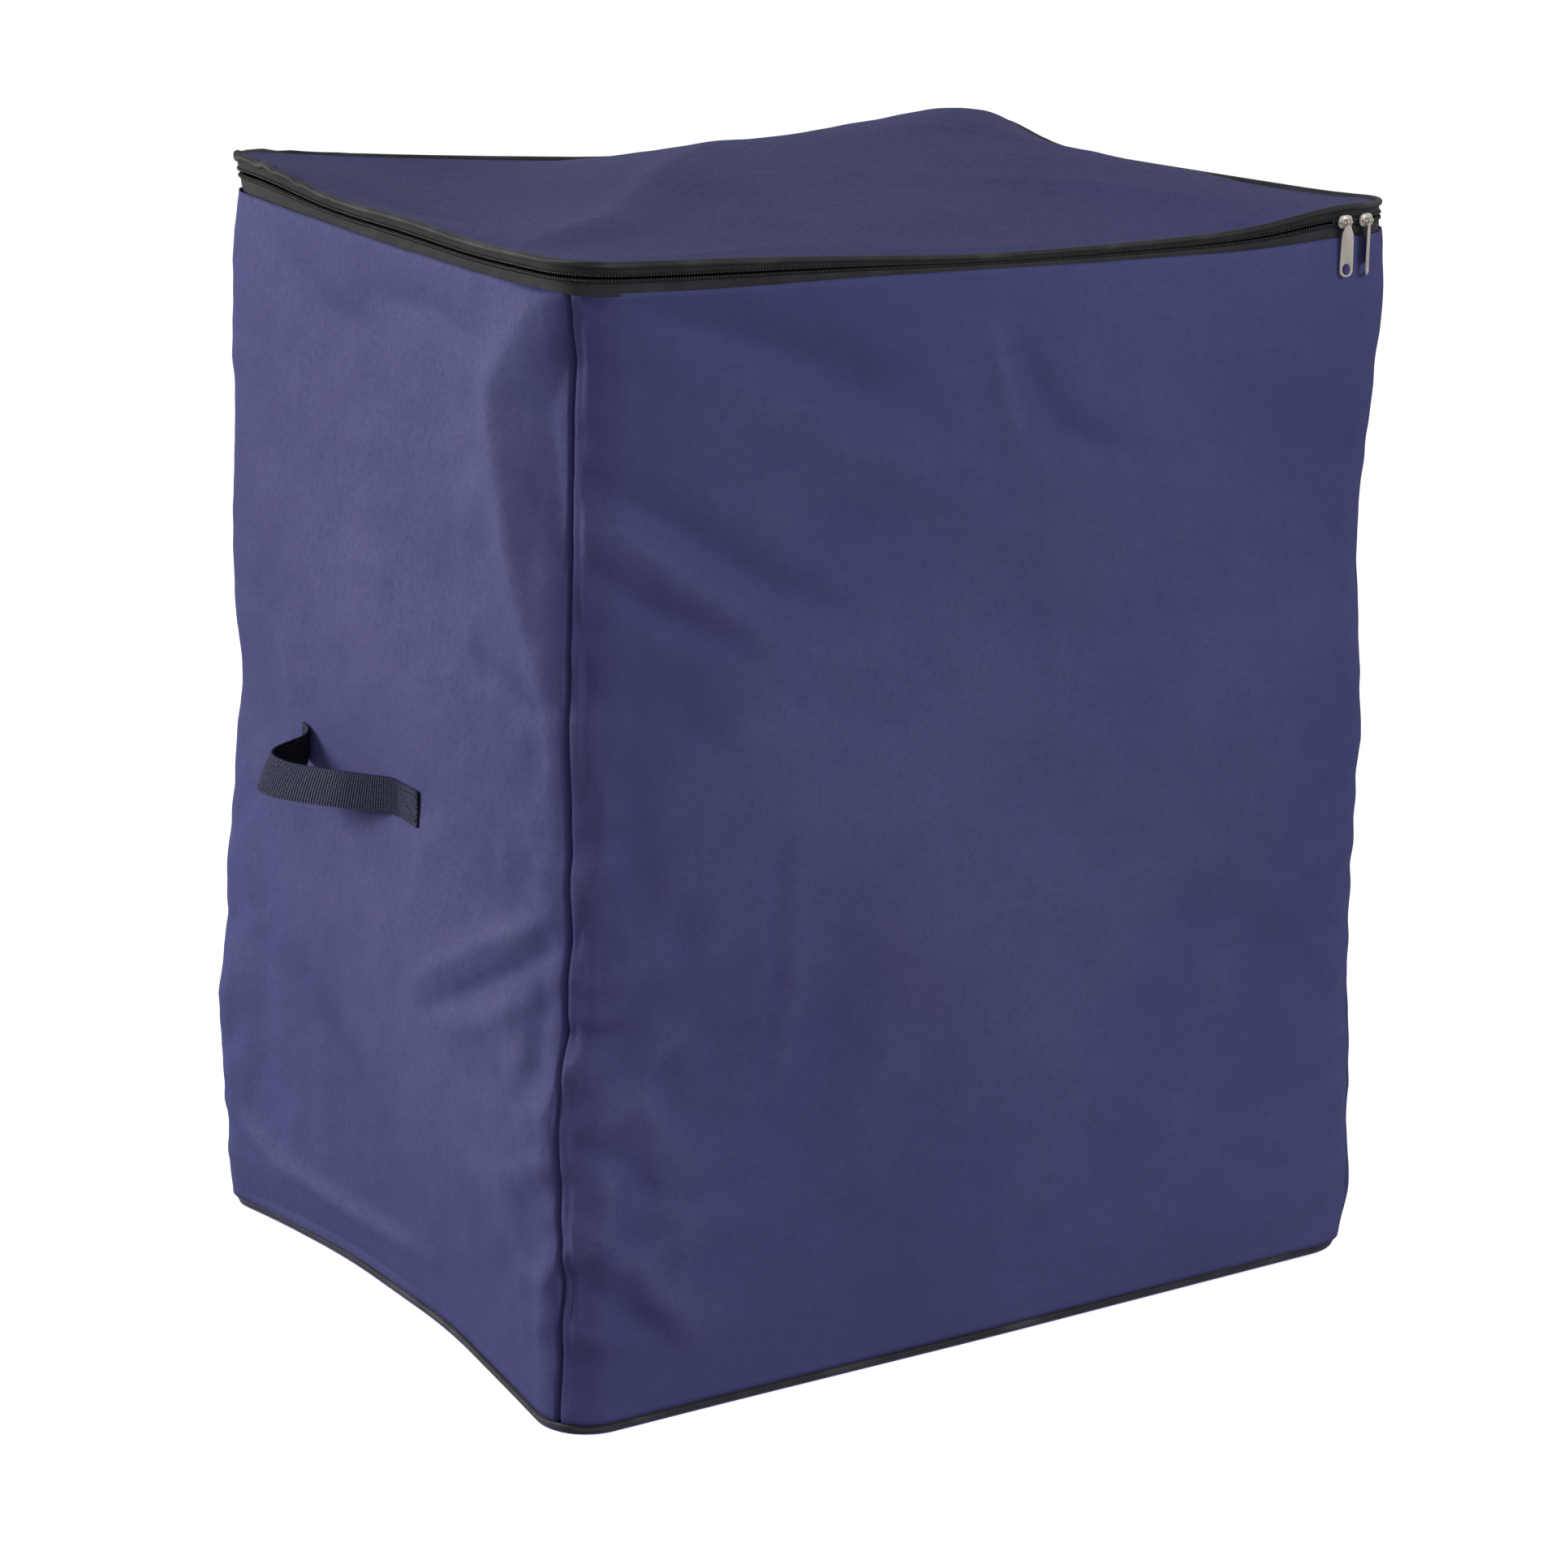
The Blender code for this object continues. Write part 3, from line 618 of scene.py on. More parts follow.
WALL_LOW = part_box("front_panel")[0].z
wall_material = navy_cloth("navy_coated_polyester")
for side, (start, end) in PANELS.items():
    width, tall = end - start, RIM_Z - WALL_LOW
    columns = round(width / CLOTH_CELL) + FINE_COLUMNS

    def panel_shape(across, up, start=start, width=width, tall=tall, columns=columns):
        placed = seamward(across, width, columns)
        along, height = start + placed, WALL_LOW + up * tall
        points, out = wall(along, height)
        _, _, nx, ny = outline(along)
        from_seam = np.minimum(placed, width - placed)
        sunk = SEAM_TURN * np.exp(-((from_seam / SEAM_ROLL) ** 2))
        points[:, 0] -= nx * sunk
        points[:, 1] -= ny * sunk
        return points, out - sunk * 0.6

    panel = sheet_mesh(
        f"{side}_wall", columns, round(tall / CLOTH_CELL), (width, tall), panel_shape
    )
    thicken(panel, CLOTH_THICKNESS)
    dressed(panel, "wall_fabric", wall_material)
    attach(panel, "bag")
    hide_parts(f"{side}_panel")

# ---------------------------------------------------------------------------------------------------
# Base. A panel of the same cloth, with a dark piping cord in bias tape sewn into the seam all round.
# The base lifts off the floor a little where the left wall is pulled in.

BASE_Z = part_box("base_panel")[1].z
PIPING_R = (OUT_HIGH.z - OUT_LOW.z) / 2
HEM_LINE_Z = (OUT_HIGH.z + OUT_LOW.z) / 2


def rounded(across, up, inset):
    """Shares across and along a rectangle, as points inside the outline with its round corners."""
    half_x, half_y = HALF_X - inset, HALF_Y - inset
    radius = CORNER_R - inset
    x, y = (2 * across - 1) * half_x, (2 * up - 1) * half_y
    p = np.clip((np.abs(x) - half_x + radius) / radius, 0, 1)
    q = np.clip((np.abs(y) - half_y + radius) / radius, 0, 1)
    both = (p > 0) & (q > 0)
    bent_x = np.sign(x) * (half_x - radius + radius * p * np.sqrt(1 - q * q / 2))
    bent_y = np.sign(y) * (half_y - radius + radius * q * np.sqrt(1 - p * p / 2))
    return np.where(both, bent_x, x), np.where(both, bent_y, y)


def base_shape(across, up):
    x, y = rounded(across, up, WALL_INSET)
    points = np.stack([x, y, np.full_like(x, BASE_Z)], axis=-1)
    lift = strayed(HEM, x, y)
    edge = np.clip(np.maximum(np.abs(x) / HALF_X, np.abs(y) / HALF_Y), 0, 1) ** 6
    lift[:, 2] = np.clip(lift[:, 2], 0, 1) * edge
    sag = 0.0006 * (1 + grain(points, 9, 11)) * (1 - edge)
    points += lift
    points[:, 2] += sag
    return points, sag


base_cloth = sheet_mesh("base_cloth", 110, 84, (2 * HALF_X, 2 * HALF_Y), base_shape)
thicken(base_cloth, CLOTH_THICKNESS)
dressed(base_cloth, "wall_fabric", wall_material)
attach(base_cloth, "bag")
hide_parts("base_panel")


def piece_of(name, bm):
    """A smooth piece from a bmesh, which it frees."""
    mesh = bpy.data.meshes.new(name)
    bm.to_mesh(mesh)
    bm.free()
    mesh.shade_smooth()
    made = bpy.data.objects.new(name, mesh)
    bpy.context.scene.collection.objects.link(made)
    return made


def ring_cord(name, centres, radius, sides=12):
    """A round cord along a closed course, with a map in metres along and round it."""
    count = len(centres)
    bm = bmesh.new()
    bmesh.ops.create_grid(bm, x_segments=count, y_segments=sides, size=0.5)
    flat = np.array([vertex.co[:2] for vertex in bm.verts]) + 0.5
    ring = np.round(flat[:, 0] * count).astype(int) % count
    turn = 2 * np.pi * flat[:, 1]
    ahead = np.roll(centres, -1, axis=0) - np.roll(centres, 1, axis=0)
    ahead /= np.linalg.norm(ahead, axis=1)[:, None]
    sideways = np.cross(ahead, np.tile([0.0, 0.0, 1.0], (count, 1)))
    sideways /= np.linalg.norm(sideways, axis=1)[:, None]
    lifted = np.cross(sideways, ahead)
    points = centres[ring] + radius * (
        np.cos(turn)[:, None] * sideways[ring] + np.sin(turn)[:, None] * lifted[ring]
    )
    bm.verts.ensure_lookup_table()
    for vertex, point in zip(bm.verts, points):
        vertex.co = point
    lengths = np.concatenate([[0], np.cumsum(np.linalg.norm(np.diff(centres, axis=0), axis=1))])
    total = lengths[-1]
    layer = bm.loops.layers.uv.new("cloth")
    for face in bm.faces:
        for loop in face.loops:
            share = flat[loop.vert.index]
            loop[layer].uv = (share[0] * total, share[1] * 2 * math.pi * radius)
    bmesh.ops.remove_doubles(bm, verts=bm.verts, dist=radius * 0.02)
    bmesh.ops.recalc_face_normals(bm, faces=bm.faces)
    return piece_of(name, bm)


def bias_tape(name):
    """Charcoal bias binding, woven fine and worn grey in random patches."""
    tape = Finish(name, 0.42, sheen=0.1)
    along, across = tape.uv()
    ribs = ((along + across) * (2 * math.pi / 0.0014)).sine()
    # On the tape this mask is only wear: random paler patches, with no light painted.
    wear_and_painted_highlight = tape.between(tape.speckle(30, 5), 0.42, 0.7)
    body = tape.mix((0.030, 0.030, 0.036, 1), (0.085, 0.085, 0.094, 1), wear_and_painted_highlight)
    return tape.done(body, ribs * 0.5 + tape.speckle(300, 3), 0.00025)


RING_POINTS = np.linspace(0, GIRTH, 420, endpoint=False)
piping_material = bias_tape("charcoal_bias_tape")
hem_course = level_line(HEM, HEM_LINE_Z, RING_POINTS, PIPING_R)
hem_course[:, 2] = np.maximum(hem_course[:, 2], HEM_LINE_Z)
hem_piping = ring_cord("hem_piping", hem_course, PIPING_R)
dressed(hem_piping, "trim_fabric", piping_material)
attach(hem_piping, "bag")
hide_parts("base_piping")

# ---------------------------------------------------------------------------------------------------
# Inside bindings. The raw edges of every seam are bound in flat tape: four lengths up the corners, one
# round the base. They show when the lid is thrown back.

BINDING_HALF, BINDING_THICK = 0.005, 0.0010
WALL_BACK = WALL_INSET + SEAM_TURN + CLOTH_THICKNESS + 0.0012
for name, seam in zip(("front_left", "front_right", "back_right", "back_left"), SEAMS):

    def up_the_corner(across, up, seam=seam):
        along = seam + (across - 0.5) * 2 * BINDING_HALF
        points, _ = wall(along, WALL_LOW + up * (RIM_Z - WALL_LOW), WALL_BACK)
        return points, None

    binding = sheet_mesh(f"corner_tape_{name}", 6, 150, (2 * BINDING_HALF, RIM_Z), up_the_corner)
    thicken(binding, BINDING_THICK)
    dressed(binding, "trim_fabric", piping_material)
    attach(binding, "bag")
    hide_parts(f"corner_binding_{name}")


STRIP_MAP = 0.02  # how wide a strip's map says it is, in metres


def strip(name, start, end, rows, place, thickness, slot, material, closed=False, step=0.005):
    """A strip of cloth along the outline. place takes distance along and share up, and gives points."""

    def shape(across, up):
        return place(start + across * (end - start), up), None

    made = sheet_mesh(name, round((end - start) / step), rows, (end - start, STRIP_MAP), shape, closed)
    thicken(made, thickness)
    return dressed(made, slot, material)


base_tape_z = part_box("base_binding")[1].z


def round_the_base(along, up):
    points = level_line(HEM, base_tape_z, along, WALL_INSET + 0.004 + 0.010 * up)
    points[:, 2] = np.maximum(points[:, 2], base_tape_z)
    return points


base_tape = strip(
    "base_tape", 0, GIRTH, 2, round_the_base, BINDING_THICK, "trim_fabric", piping_material, closed=True
)
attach(base_tape, "bag")
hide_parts("base_binding")

# ---------------------------------------------------------------------------------------------------
# Zip. A nylon coil zip on charcoal tape runs round three sides and both back corners. The lower tape
# is sewn to the rim of the walls and the upper one to the lid, and the cloth's weight makes it wander.

ZIP_FROM = SIDE_STARTS[4] + X_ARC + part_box("zip_end_tab_right")[1].x - GIRTH
ZIP_TO = SIDE_STARTS[4] + X_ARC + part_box("zip_end_tab_left")[0].x
TAPE_INSET = HALF_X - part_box("zip_tape_lower")[1].x
TAPE_THICK, TAPE_CROWN = 0.0008, 0.0010


def band_line(height, along, inset):
    """Points of a line in the band between the walls' rim and the lid's brim."""
    x, y, _, _ = outline(along, inset)
    rise = ((np.asarray(height) - RIM_Z) / (BRIM_Z - RIM_Z))[..., None]
    shift = strayed(RIM, x, y) * (1 - rise) + strayed(BRIM, x, y) * rise
    return np.stack([x, y, height + 0 * x], axis=-1) + shift


def ruffle(along):
    """The gathers of the tape towards the back left corner, where the zip is slack."""
    slack = np.exp(-(((along - SIDE_STARTS[6] - 0.02) / 0.09) ** 2))
    return slack * (0.0011 * np.sin(along * 210) + 0.0007 * np.sin(along * 330 + 1.0))


def zip_tape(name):
    """Ribbed polyester zip tape, with the rows of stitching that hold it."""
    tape = Finish(name, 0.5, sheen=0.08)
    along, across = tape.uv()
    ribs = (across * (2 * math.pi / 0.0016)).sine()
    cross = (along * (2 * math.pi / 0.0009)).sine()
    shade = tape.between(tape.speckle(60, 4), 0.35, 0.7)
    body = tape.mix((0.050, 0.049, 0.062, 1), (0.082, 0.080, 0.096, 1), shade)
    body = tape.mix((0.020, 0.020, 0.026, 1), body, tape.between(ribs, -0.9, 0.1, 0.25, 1.0))
    return tape.done(body, ribs * 0.7 + cross * 0.2 + tape.speckle(400, 2), 0.00030)


tape_material = zip_tape("charcoal_zip_tape")
for name, node, body, tuck_low, tuck_high in (
    ("zip_tape_below", "zip_tape_lower", "bag", 0.0022, 0.0),
    ("zip_tape_above", "zip_tape_upper", "lid", 0.0, 0.0012),
):
    low, high = (corner.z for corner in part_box(node))
    low, high = low - tuck_low, high + tuck_high

    def tape_place(along, up, low=low, high=high):
        height = low + up * (high - low)
        crown = TAPE_CROWN * np.sin(np.pi * up) + ruffle(along)
        return band_line(height, along, TAPE_INSET - crown)

    zip_half = strip(
        name, ZIP_FROM, ZIP_TO, 8, tape_place, TAPE_THICK, "tape_fabric", tape_material, step=0.004
    )
    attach(zip_half, body)
    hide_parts(node)

COIL_PITCH, COIL_DEEP, COIL_INSET = 0.0021, 0.0010, HALF_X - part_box("zip_coil_lower")[1].x
coil_finish = Finish("black_nylon_coil", 0.34)
coil_material = coil_finish.done(
    coil_finish.mix((0.020, 0.020, 0.025, 1), (0.045, 0.045, 0.054, 1), coil_finish.speckle(120)),
    coil_finish.speckle(700),
    0.0001,
)
for name, node, body in (
    ("coil_below", "zip_coil_lower", "bag"),
    ("coil_above", "zip_coil_upper", "lid"),
):
    low, high = (corner.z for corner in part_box(node))
    stops = np.arange(ZIP_FROM + COIL_PITCH, ZIP_TO - COIL_PITCH, COIL_PITCH)
    middle = band_line((low + high) / 2, stops, COIL_INSET + COIL_DEEP)
    _, _, out_x, out_y = outline(stops)
    bm = bmesh.new()
    for point, nx, ny in zip(middle, out_x, out_y):
        turned = Matrix(((ny, nx, 0), (-nx, ny, 0), (0, 0, 1))).to_4x4()
        lean = Matrix.Rotation(math.radians(14), 4, "Y")
        size = Matrix.Diagonal((COIL_PITCH * 0.46, COIL_DEEP, (high - low) / 2, 1))
        bmesh.ops.create_icosphere(
            bm, subdivisions=1, radius=1, matrix=Matrix.Translation(point) @ turned @ lean @ size
        )
    coil = dressed(piece_of(name, bm), "coil", coil_material)
    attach(coil, body)
    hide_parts(node)

# ---------------------------------------------------------------------------------------------------
# Ends of the zip. A small folded patch of the wall's cloth is sewn over each end, on the back. Between
# them a strip of cloth joins lid and back wall, and it is the hinge.

for side in ("left", "right"):
    node = f"zip_end_tab_{side}"
    low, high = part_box(node)
    bm = bmesh.new()
    bmesh.ops.create_cube(bm, size=1)
    bmesh.ops.bevel(
        bm, geom=bm.verts[:] + bm.edges[:], affect="EDGES", offset=0.16, segments=3, profile=0.5,
        material=-1,
    )
    bmesh.ops.subdivide_edges(bm, edges=bm.edges[:], cuts=2, use_grid_fill=True)
    shares = np.array([vertex.co for vertex in bm.verts]) + 0.5
    span_x, span_z = high.x - low.x, high.z - low.z
    x, height = low.x + shares[:, 0] * span_x, low.z + shares[:, 2] * span_z
    along = SIDE_STARTS[4] + X_ARC - x
    puff = 0.0006 * np.sin(np.pi * shares[:, 0]) * np.sin(np.pi * shares[:, 2])
    points = band_line(height, along, HALF_Y - high.y + (1 - shares[:, 1]) * (high.y - low.y) - puff)
    for vertex, point in zip(bm.verts, points):
        vertex.co = point
    bmesh.ops.recalc_face_normals(bm, faces=bm.faces)
    patch = dressed(piece_of(f"zip_end_patch_{side}", bm), "wall_fabric", wall_material)
    patch.data.uv_layers.new(name="cloth")
    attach(patch, "bag")
    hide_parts(node)

hinge_low, hinge_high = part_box("back_hinge_strip")
HINGE_INSET = HALF_Y - hinge_high.y


def hinge_place(across, up):
    x = hinge_high.x - across * (hinge_high.x - hinge_low.x)
    height = hinge_low.z + up * (hinge_high.z - hinge_low.z)
    crown = 0.0022 * np.sin(np.pi * up) * (1 + 0.3 * np.sin(x * 90))
    return band_line(height, SIDE_STARTS[4] + X_ARC - x, HINGE_INSET - crown), crown


hinge_size = (hinge_high.x - hinge_low.x, hinge_high.z - hinge_low.z)
hinge_cloth = sheet_mesh("hinge_cloth", 110, 16, hinge_size, hinge_place)
thicken(hinge_cloth, CLOTH_THICKNESS)
dressed(hinge_cloth, "wall_fabric", wall_material)
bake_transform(hinge_cloth)
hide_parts("back_hinge_strip")

# ---------------------------------------------------------------------------------------------------
# Lid. One panel of the same cloth in a frame of piping, with nothing under it: it hangs between its
# edges and what the bag holds pushes it up in a ridge and two low humps.

LID_INSET = HALF_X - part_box("lid_panel")[1].x
LID_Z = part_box("lid_panel")[1].z
LID_MARGIN = 0.028  # how far in from the brim the cloth follows the brim
# Where the cloth lies inside the brim: (x, y in centimetres, up in millimetres).
LID_REST = (
    (-29.5, -13.3, 3), (-25.5, -11, 3), (-21, -9, 3), (-15.5, -3, 3), (-9.3, 4.3, 5), (-4, 9, 7),
    (1.4, 13.6, 8), (7.9, 15.5, 5), (15, 17.5, 6), (23.4, 19, 10), (28.5, 19, 6), (-28, 0, -3),
    (-24, 6, -6), (-20, 14, -9), (-14, 19, -13), (-7, 20, -10), (-16, 8, -6), (-12, -12, -3),
    (-22, -17, 1), (0, -14, -5), (12, -14, -6), (22, -13, -3), (0, 0, 3), (8, 4, 5), (13, 8, 7),
    (24, 0, 4), (26, 9, -1), (29, -6, -3), (29.5, 5, -7), (18, -6, 1),
)
LID_GRAINS = ((0.0022, 7, 21), (0.0009, 17, 22), (0.0004, 50, 23))
# Folds across the lid: the course as (x, y) in centimetres, then half width and height in millimetres.
LID_FOLDS = (
    (((-30.5, -14.5), (-21.3, -9.3), (-9.3, 4.3), (1.4, 13.6)), 18, 4.0),
    (((-28, -16), (-19, -12), (-8, -2)), 22, -3.0),
    (((17, 13.5), (21.4, 7.5), (23.8, 0.3)), 8, 3.0),
    (((20, 13.5), (24.4, 7.5), (26.8, 0.3)), 10, -2.0),
    (((5, 20), (15, 21.5), (26, 21.5)), 12, -3.0),
    (((-28.8, 8.7), (-27.1, -6.5)), 14, -3.0),
    (((-24, -22), (-10, -18)), 12, 2.0),
    (((10, -3), (18, -9), (24, -17)), 16, 2.0),
)


def pull_of(near):
    """The thin plate kernel, for cloth that passes through the points where it rests."""
    return near**2 * np.log(near + 1e-9)


rim_x, rim_y, _, _ = outline(np.linspace(0, GIRTH, 60, endpoint=False), LID_INSET)
rests = np.array(LID_REST) / (100, 100, 1000)
held_x, held_y = np.concatenate([rim_x, rests[:, 0]]), np.concatenate([rim_y, rests[:, 1]])
held_z = np.concatenate([strayed(BRIM, rim_x, rim_y)[:, 2], rests[:, 2]])
ones = np.stack([np.ones_like(held_x), held_x, held_y], axis=1)
pulls = pull_of(np.hypot(held_x[:, None] - held_x, held_y[:, None] - held_y))
pulls += np.eye(len(held_x)) * 0.0008
system = np.block([[pulls, ones], [ones.T, np.zeros((3, 3))]])
weights = np.linalg.solve(system, np.concatenate([held_z, np.zeros(3)]))


def lid_shape(across, up):
    x, y = rounded(across, up, LID_INSET)
    points = np.stack([x, y, np.full_like(x, LID_Z)], axis=-1)
    shift = strayed(BRIM, x, y)
    hung = pull_of(np.hypot(x[:, None] - held_x, y[:, None] - held_y)) @ weights[:-3]
    hung += weights[-3] + weights[-2] * x + weights[-1] * y
    inside = np.minimum(HALF_X - LID_INSET - np.abs(x), HALF_Y - LID_INSET - np.abs(y))
    inside = np.clip(inside / LID_MARGIN, 0, 1)
    inside = inside**2 * (3 - 2 * inside)
    folds = np.zeros_like(x)
    for course, half_width, height in LID_FOLDS:
        folds += height / 1000 * fold_profile(course, half_width / 1000, x, y)
    folds += sum(depth * grain(points, scale, seed) for depth, scale, seed in LID_GRAINS)
    folds += 0.0008 * np.exp(-((inside - 0.35) ** 2) / 0.05) * grain(points, 60, 24)
    points += shift
    points[:, 2] += inside * (hung - shift[:, 2] + folds)
    return points, folds * inside


lid_cloth = sheet_mesh("lid_cloth", 168, 128, (2 * HALF_X, 2 * HALF_Y), lid_shape)
thicken(lid_cloth, CLOTH_THICKNESS)
dressed(lid_cloth, "wall_fabric", wall_material)
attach(lid_cloth, "lid")
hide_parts("lid_panel")

brim_course = band_line(np.full(len(RING_POINTS), BRIM_Z - PIPING_R), RING_POINTS, PIPING_R)
brim_course[:, 2] += ruffle(RING_POINTS) * 0.8
brim_piping = ring_cord("brim_piping", brim_course, PIPING_R)
dressed(brim_piping, "trim_fabric", piping_material)
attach(brim_piping, "lid")
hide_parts("lid_piping")

lid_tape_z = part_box("lid_binding")[1].z


def round_the_lid(along, up):
    points = band_line(np.full_like(along, lid_tape_z), along, LID_INSET + 0.0004 + 0.0096 * up)
    return points - (0, 0, 0.0012)


lid_tape = strip(
    "lid_tape", 0, GIRTH, 2, round_the_lid, BINDING_THICK * 0.8, "trim_fabric", piping_material,
    closed=True,
)
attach(lid_tape, "lid")
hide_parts("lid_binding")

# ---------------------------------------------------------------------------------------------------
# Handles. One length of ribbed polypropylene webbing on each side, sewn flat to the wall at its front
# end, standing out in a bow, and turned back under itself at its rear root.

HANDLE_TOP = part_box("handle_left_loop")[1].z
WEBBING_WIDE = HANDLE_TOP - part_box("handle_left_tab_front")[0].z
WEBBING_THICK = 0.0016
# The strap's course seen from above: (y, how far it stands from the wall, droop, in millimetres).
STRAP = (
    (-55, 0, 0), (-45, 0, 0), (-30, 0, 0), (-17, 0.2, 0), (-10, 2, 0.5), (2, 7, 2), (18, 13, 3.5),
    (36, 20, 5), (54, 28, 6), (70, 34, 6.5), (84, 37, 6), (94, 36, 5), (99, 31, 3.5), (100, 24, 2),
    (99, 16, 0), (98.5, 8, -2), (99.5, 3, -4), (103, 0.6, -6), (108, 0, -7), (112.5, 0, -7),
)


def webbing(name, deep, raised, fleck_and_painted_highlight):
    """Polypropylene webbing: fine cross ribs in dark blue and black yarn, with a paler fleck, and a
    painted highlight over the front tab and the rear bend.
    """
    strap = Finish(name, 0.5)
    strap.surface.inputs["Specular IOR Level"].default_value = 0.25
    along, across = strap.uv()
    ribs = (along * (2 * math.pi / 0.0021)).sine()
    rows = (across * (2 * math.pi / 0.0017)).sine()
    fleck = strap.between(strap.speckle(900, 2), 0.52, 0.68)
    body = strap.mix(deep, raised, strap.between(ribs, -0.6, 0.9))
    # Painted highlight: the strap is made paler over its front tab and at its rear bend, where the
    # light catches it, and the fleck shows more there.
    wear_and_painted_highlight = strap.between(along, 0.022, 0.034, 1.0, 0.0) + strap.between(along, 0.075, 0.100, 0.0, 0.8)
    body = strap.mix(body, fleck_and_painted_highlight, wear_and_painted_highlight * 0.35 + fleck * (wear_and_painted_highlight * 0.4 + 0.25))
    # Painted shade: the last two millimetres of the front tab take the dark yarn colour, a shadow line
    # where the folded end meets the wall.
    body = strap.mix(deep, body, strap.between(along, 0.0012, 0.0020))
    return strap.done(body, ribs * 1.0 + rows * 0.45 + strap.speckle(300, 2) * 0.5, 0.00045)


webbing_material = webbing(
    "dark_blue_webbing", (0.008, 0.011, 0.034, 1), (0.046, 0.058, 0.140, 1), (0.135, 0.155, 0.250, 1)
)
# Painted shade: a near-black copy of the webbing for the strap's back face, standing for the shade
# inside the bow and against the wall.
strap_back_painted_shade = webbing(
    "webbing_inner_face_painted_shade", (0.004, 0.004, 0.009, 1), (0.012, 0.012, 0.022, 1), (0.02, 0.02, 0.035, 1)
)
thread_finish = Finish("dark_thread", 0.5)
thread_material = thread_finish.done(
    thread_finish.mix((0.006, 0.007, 0.012, 1), (0.016, 0.018, 0.030, 1), thread_finish.speckle(500))
)
course = np.array(STRAP, float) / 1000
lengths = np.concatenate([[0], np.cumsum(np.linalg.norm(np.diff(course[:, :2], axis=0), axis=1))])
STRAP_LONG = lengths[-1]


def smoothed(share):
    """The strap's y, stand and droop at shares of its length, eased between its points."""
    reach = share[:, None] * STRAP_LONG + np.linspace(-0.004, 0.004, 5)
    return (np.interp(reach, lengths, course[:, axis]).mean(axis=1) for axis in range(3))


BOW_FULL, BOW_TILT, BOW_NARROW = 0.044, 0.0135, 0.06  # how a standing strap leans out and foreshortens


def on_strap(side, share, across, lift=0.0):
    """Points on a strap: share along it, across from its lower edge, lift off its outer face."""
    y, stand, droop = smoothed(share)
    bow = np.clip(stand / BOW_FULL, 0, 1)
    height = HANDLE_TOP - droop - (1 - across) * WEBBING_WIDE * (1 - BOW_NARROW * bow)
    stand = stand + (1 - across) * BOW_TILT * bow ** 0.8 * (y > -0.02)
    if side < 0:
        along = SIDE_STARTS[6] + Y_ARC - y
    else:
        along = SIDE_STARTS[2] + Y_ARC + y
    on_wall, _ = wall(along, height)
    flat = np.full_like(y, side * (HALF_X - WALL_INSET))
    share_wall = np.clip(1 - stand / 0.012, 0, 1)
    base = flat + (on_wall[:, 0] - flat) * share_wall
    cup = 0.0009 * np.sin(np.pi * across) * bow
    x = base + side * (stand + cup + WEBBING_THICK + 0.0002 + lift)
    return np.stack([x, y, height], axis=-1)


STITCH_LONG, STITCH_THICK = 0.0034, 0.0004
# The box stitch on the front tab, and the row at the rear root, as shares along and across the strap.
BOX_STITCH = ((0.012, 0.15), (0.012, 0.85), (0.16, 0.85), (0.16, 0.15), (0.012, 0.15), (0.16, 0.85))
STITCH_RUNS = (*zip(BOX_STITCH[:-1], BOX_STITCH[1:]), ((0.984, 0.1), (0.984, 0.9)))
for side, hand in ((-1, "left"), (1, "right")):

    def strap_shape(across, up, side=side):
        return on_strap(side, across, up if side < 0 else 1 - up), None

    strap = sheet_mesh(f"{hand}_strap", 150, 10, (STRAP_LONG, WEBBING_WIDE), strap_shape)
    bm = bmesh.new()
    bm.from_mesh(strap.data)
    bm.faces.ensure_lookup_table()
    if (bm.faces[5].normal.x > 0) != (side > 0):
        bmesh.ops.reverse_faces(bm, faces=bm.faces)
    bm.to_mesh(strap.data)
    bm.free()
    thicken(strap, WEBBING_THICK)
    # The strap's back face takes the painted-shade copy of the webbing.
    strap.modifiers["cloth_thickness"].material_offset = 1
    edge = strap.modifiers.new("soft_edge", "BEVEL")
    edge.width, edge.segments, edge.limit_method = 0.0005, 2, "ANGLE"
    dressed(strap, "webbing", webbing_material, strap_back_painted_shade)
    side * (HALF_X - 0.001)
    side * (HALF_X + 0.014)
    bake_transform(strap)
    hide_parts(f"handle_{hand}_loop", f"handle_{hand}_tab_front", f"handle_{hand}_tab_back")

    bm = bmesh.new()
    for (s0, a0), (s1, a1) in STITCH_RUNS:
        run = math.hypot((s1 - s0) * STRAP_LONG, (a1 - a0) * WEBBING_WIDE)
        count = max(3, round(run / STITCH_LONG))
        ends = (np.arange(count) + 0.16) / count, (np.arange(count) + 0.84) / count
        first, last = (
            on_strap(side, s0 + (s1 - s0) * end, a0 + (a1 - a0) * end, lift=0.0001) for end in ends
        )
        for one, two in zip(first, last):
            middle, way = Vector((one + two) / 2), Vector(two - one)
            turned = way.to_track_quat("X", "Z").to_matrix().to_4x4()
            size = Matrix.Diagonal((way.length / 2, STITCH_THICK, STITCH_THICK, 1))
            bmesh.ops.create_icosphere(
                bm, subdivisions=1, radius=1, matrix=Matrix.Translation(middle) @ turned @ size
            )
    stitches = dressed(piece_of(f"{hand}_strap_stitches", bm), "trim_fabric", thread_material)
    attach(stitches, "bag")

# ---------------------------------------------------------------------------------------------------
# Sliders and pulls. Two die-cast sliders in warm satin nickel ride the coil near the front right
# corner. Each has a domed round cap with a bridge over it, and a long pull with an oval hole.

